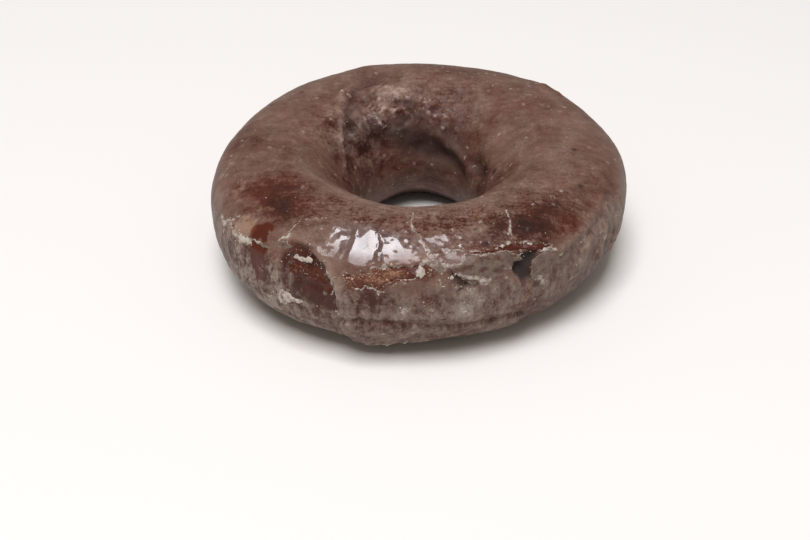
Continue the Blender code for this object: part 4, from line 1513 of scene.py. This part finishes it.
def chip(azimuth, section, length, width, turn):
    """Corners, told by angles, of a small chip with six uneven corners."""
    steps = np.arange(6)
    lap = steps * FULL_TURN / 6 + np.sin(azimuth + steps * 2.3) * 0.35
    size = 1.05 + np.sin(section * 1.7 + steps * 4.1) * 0.35
    along, up = np.cos(lap) * size * length / 2, np.sin(lap) * size * width / 2
    tilt = math.radians(turn)
    x = along * math.cos(tilt) - up * math.sin(tilt)
    y = along * math.sin(tilt) + up * math.cos(tilt)
    return [(azimuth + a / ROUND_PER_DEGREE, section + b / CUT_PER_DEGREE) for a, b in zip(x, y)]


shard_material = make_shard_material()
shards = []
rows = list(SHARDS.items())
for azimuth, section, length, width, turn, lift, tone in FLAKES:
    corners = chip(azimuth, section, length, width, turn)
    rows.append(("flake", (0.16, lift, lift + 0.12, tone, corners)))
for number, (name, row) in enumerate(rows):
    shard = make_shard(name, number * 1.7, *row)
    shard.data.materials.append(shard_material)
    shards.append(shard)
print("loose plates:", len(shards), "with", sum(len(shard.data.polygons) for shard in shards), "faces")

# %% [markdown]
# Scattered bits.
# Fine flakes of sugar lie along every broken edge, crumbs lie in the torn band, sugar dusts the wide
# panel, and single grains stick all over. There are thousands, so Geometry Nodes strew them over the
# ring, more where the mesh is marked for them. Particles would be lost when the model is exported;
# these are real faces, twenty to a bit, because more would never show.

# %% The tree that strews bits
WANTED = "wanted"
BIT_INPUTS = {
    "Density": "Float",
    "Smallest": "Float",
    "Largest": "Float",
    "Thickness": "Float",
    "Seed": "Int",
    "Material": "Material",
}


def bits_tree(name):
    """Strews rough little lumps over a ring, where the mark on its mesh says that they are wanted."""
    tree, given = new_tree(name, BIT_INPUTS)
    start = given["Geometry"]
    want = start.node("GeometryNodeInputNamedAttribute", {"data_type": "FLOAT"}, {"Name": WANTED})
    spread = {"Mesh": start, "Density": want * given["Density"], "Seed": given["Seed"]}
    points = start.node("GeometryNodeDistributePointsOnFaces", {}, spread)
    lump = start.node("GeometryNodeMeshIcoSphere", {}, {"Radius": 0.5, "Subdivisions": 1})
    vector = {"data_type": "FLOAT_VECTOR"}
    stretch = start.node("FunctionNodeRandomValue", vector, {0: (0.6, 0.6, 0.5), 1: (1.2, 1.2, 1.0), 8: 3})
    size = {2: given["Smallest"], 3: given["Largest"], 8: 5}
    size = start.node("FunctionNodeRandomValue", {"data_type": "FLOAT"}, size, out=1)
    flat = start.node("ShaderNodeCombineXYZ", {}, {0: 1.0, 1: 1.0, 2: given["Thickness"]})
    tilts = {0: (-0.3, -0.3, 0.0), 1: (0.3, 0.3, FULL_TURN), 8: 7}
    spin = start.node("FunctionNodeRandomValue", vector, tilts)
    spin = start.node("FunctionNodeEulerToRotation", {}, {0: spin})
    turned = {"Rotation": points.out("Rotation"), "Rotate By": spin}
    turned = start.node("FunctionNodeRotateRotation", {"rotation_space": "LOCAL"}, turned)
    placed = {"Points": points, "Instance": lump, "Rotation": turned, "Scale": stretch * flat * size}
    placed = start.node("GeometryNodeInstanceOnPoints", {}, placed)
    real = start.node("GeometryNodeRealizeInstances", {}, {"Geometry": placed})
    place = start.node("GeometryNodeInputPosition") / MM
    noise_values = {"Vector": place, "Scale": 3.0, "Detail": 1.0}
    push = start.node("ShaderNodeTexNoise", {}, noise_values, out=1) - (0.5, 0.5, 0.5)
    moved = start.node("GeometryNodeSetPosition", {}, {"Geometry": real, "Offset": push * (0.22 * MM)})
    end_tree(moved, given["Material"])
    return tree


BITS_TREE = bits_tree("strewn bits")


def strew(name, on, wanted, material, density, smallest, largest, thickness, seed):
    """Bits strewn on a ring where they are wanted, kept inside the solid's box. Sizes in millimetres."""
    surface = on.copy()
    surface.data = on.data.copy()
    store(surface, WANTED, wanted)
    values = {
        "Density": density,
        "Smallest": smallest * MM,
        "Largest": largest * MM,
        "Thickness": thickness,
        "Seed": seed,
        "Material": material,
    }
    bits = run_tree(name, surface.data, BITS_TREE, values)
    bpy.data.objects.remove(surface)
    points = np.empty(len(bits.data.vertices) * 3)
    bits.data.vertices.foreach_get("co", points)
    points = np.clip(points.reshape(-1, 3), LOW, HIGH)
    bits.data.vertices.foreach_set("co", points.ravel())
    bits.data.shade_smooth()
    print(name, "has", len(bits.data.polygons), "faces")
    return bits


# %% Materials of the bits
def make_bit_material(name, low, high, roughness):
    """Bits whose colour goes from one to another by where they lie."""
    material, shader, start = new_material(name)
    place = start.node("ShaderNodeTexCoord", {}, {}, out="Object") / MM
    share = place.cloud(0.9, 2.0, 0.6).rise(0.36, 0.64)
    feed(shader, {"Base Color": share.mixed(low, high), "Roughness": roughness})
    return material


# %% Strew flakes, crumbs and grains
def strew_bits():
    """The four kinds of scattered bits."""
    rest, _, chart = ring_arrays(glaze)
    azimuth, section = angles_of(rest)
    panel = thin_glaze(rest, chart)[1]
    bare = np.maximum(broken_edge(rest, chart), panel)
    hard = 1 - hump(distance_to_line(chart, SOFT_SIDE), SOFT_REACH)
    vein = line_distance(rest, chart, PALE_VEINS, 17.0)
    crusted = crusted_sugar(rest, chart)
    clumps = smooth_rise(clouds(rest, 1.8, 70.0), -0.1, 0.5)
    edges = hump(bare + 0.25, 0.5) * clumps * hard + hump(vein, 0.4) * clumps * 0.6 + crusted * 0.8
    torn = distance_inside(chart, BARE_OUTLINES["torn band"])
    rough = smooth_rise(torn, -0.5, 0.1) * smooth_rise(clouds(rest, 1.6, 80.0), -0.4, 0.3)
    dusty = smooth_rise(panel, -0.6, 0.2) * (hump(azimuth + 126, 2.5) * 0.8 + smooth_rise(section, 14, 24))
    dusty *= smooth_rise(clouds(rest, 1.5, 83.0), 0.0, 0.5) + 0.2
    upper = smooth_rise(section, -30, 20) * (0.3 + smooth_rise(clouds(rest, 6.0, 90.0), -0.2, 0.5))
    upper *= bare < 0
    sugar = make_bit_material("dried_sugar", FLAP_BEIGE, SUGAR_WHITE, 0.6)
    crumb = make_bit_material("crumb", CRUMB_BROWN, CRUMB_PALE, 0.55)
    return [
        strew("sugar_flakes", glaze, edges, sugar, 2.6e6, 0.15, 0.55, 0.35, 1),
        strew("crumbs", crust, rough, crumb, 4.0e6, 0.18, 0.62, 0.7, 2),
        strew("sugar_on_the_panel", glaze, dusty, sugar, 2.6e6, 0.08, 0.34, 0.6, 4),
        strew("sugar_grains", glaze, upper, sugar, 7.0e4, 0.10, 0.34, 0.6, 3),
    ]


bits = strew_bits()

# %% Hand over to the frame
for piece in (glaze, crust, *shards, *bits):
    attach(piece, "root")
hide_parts("doughnut")
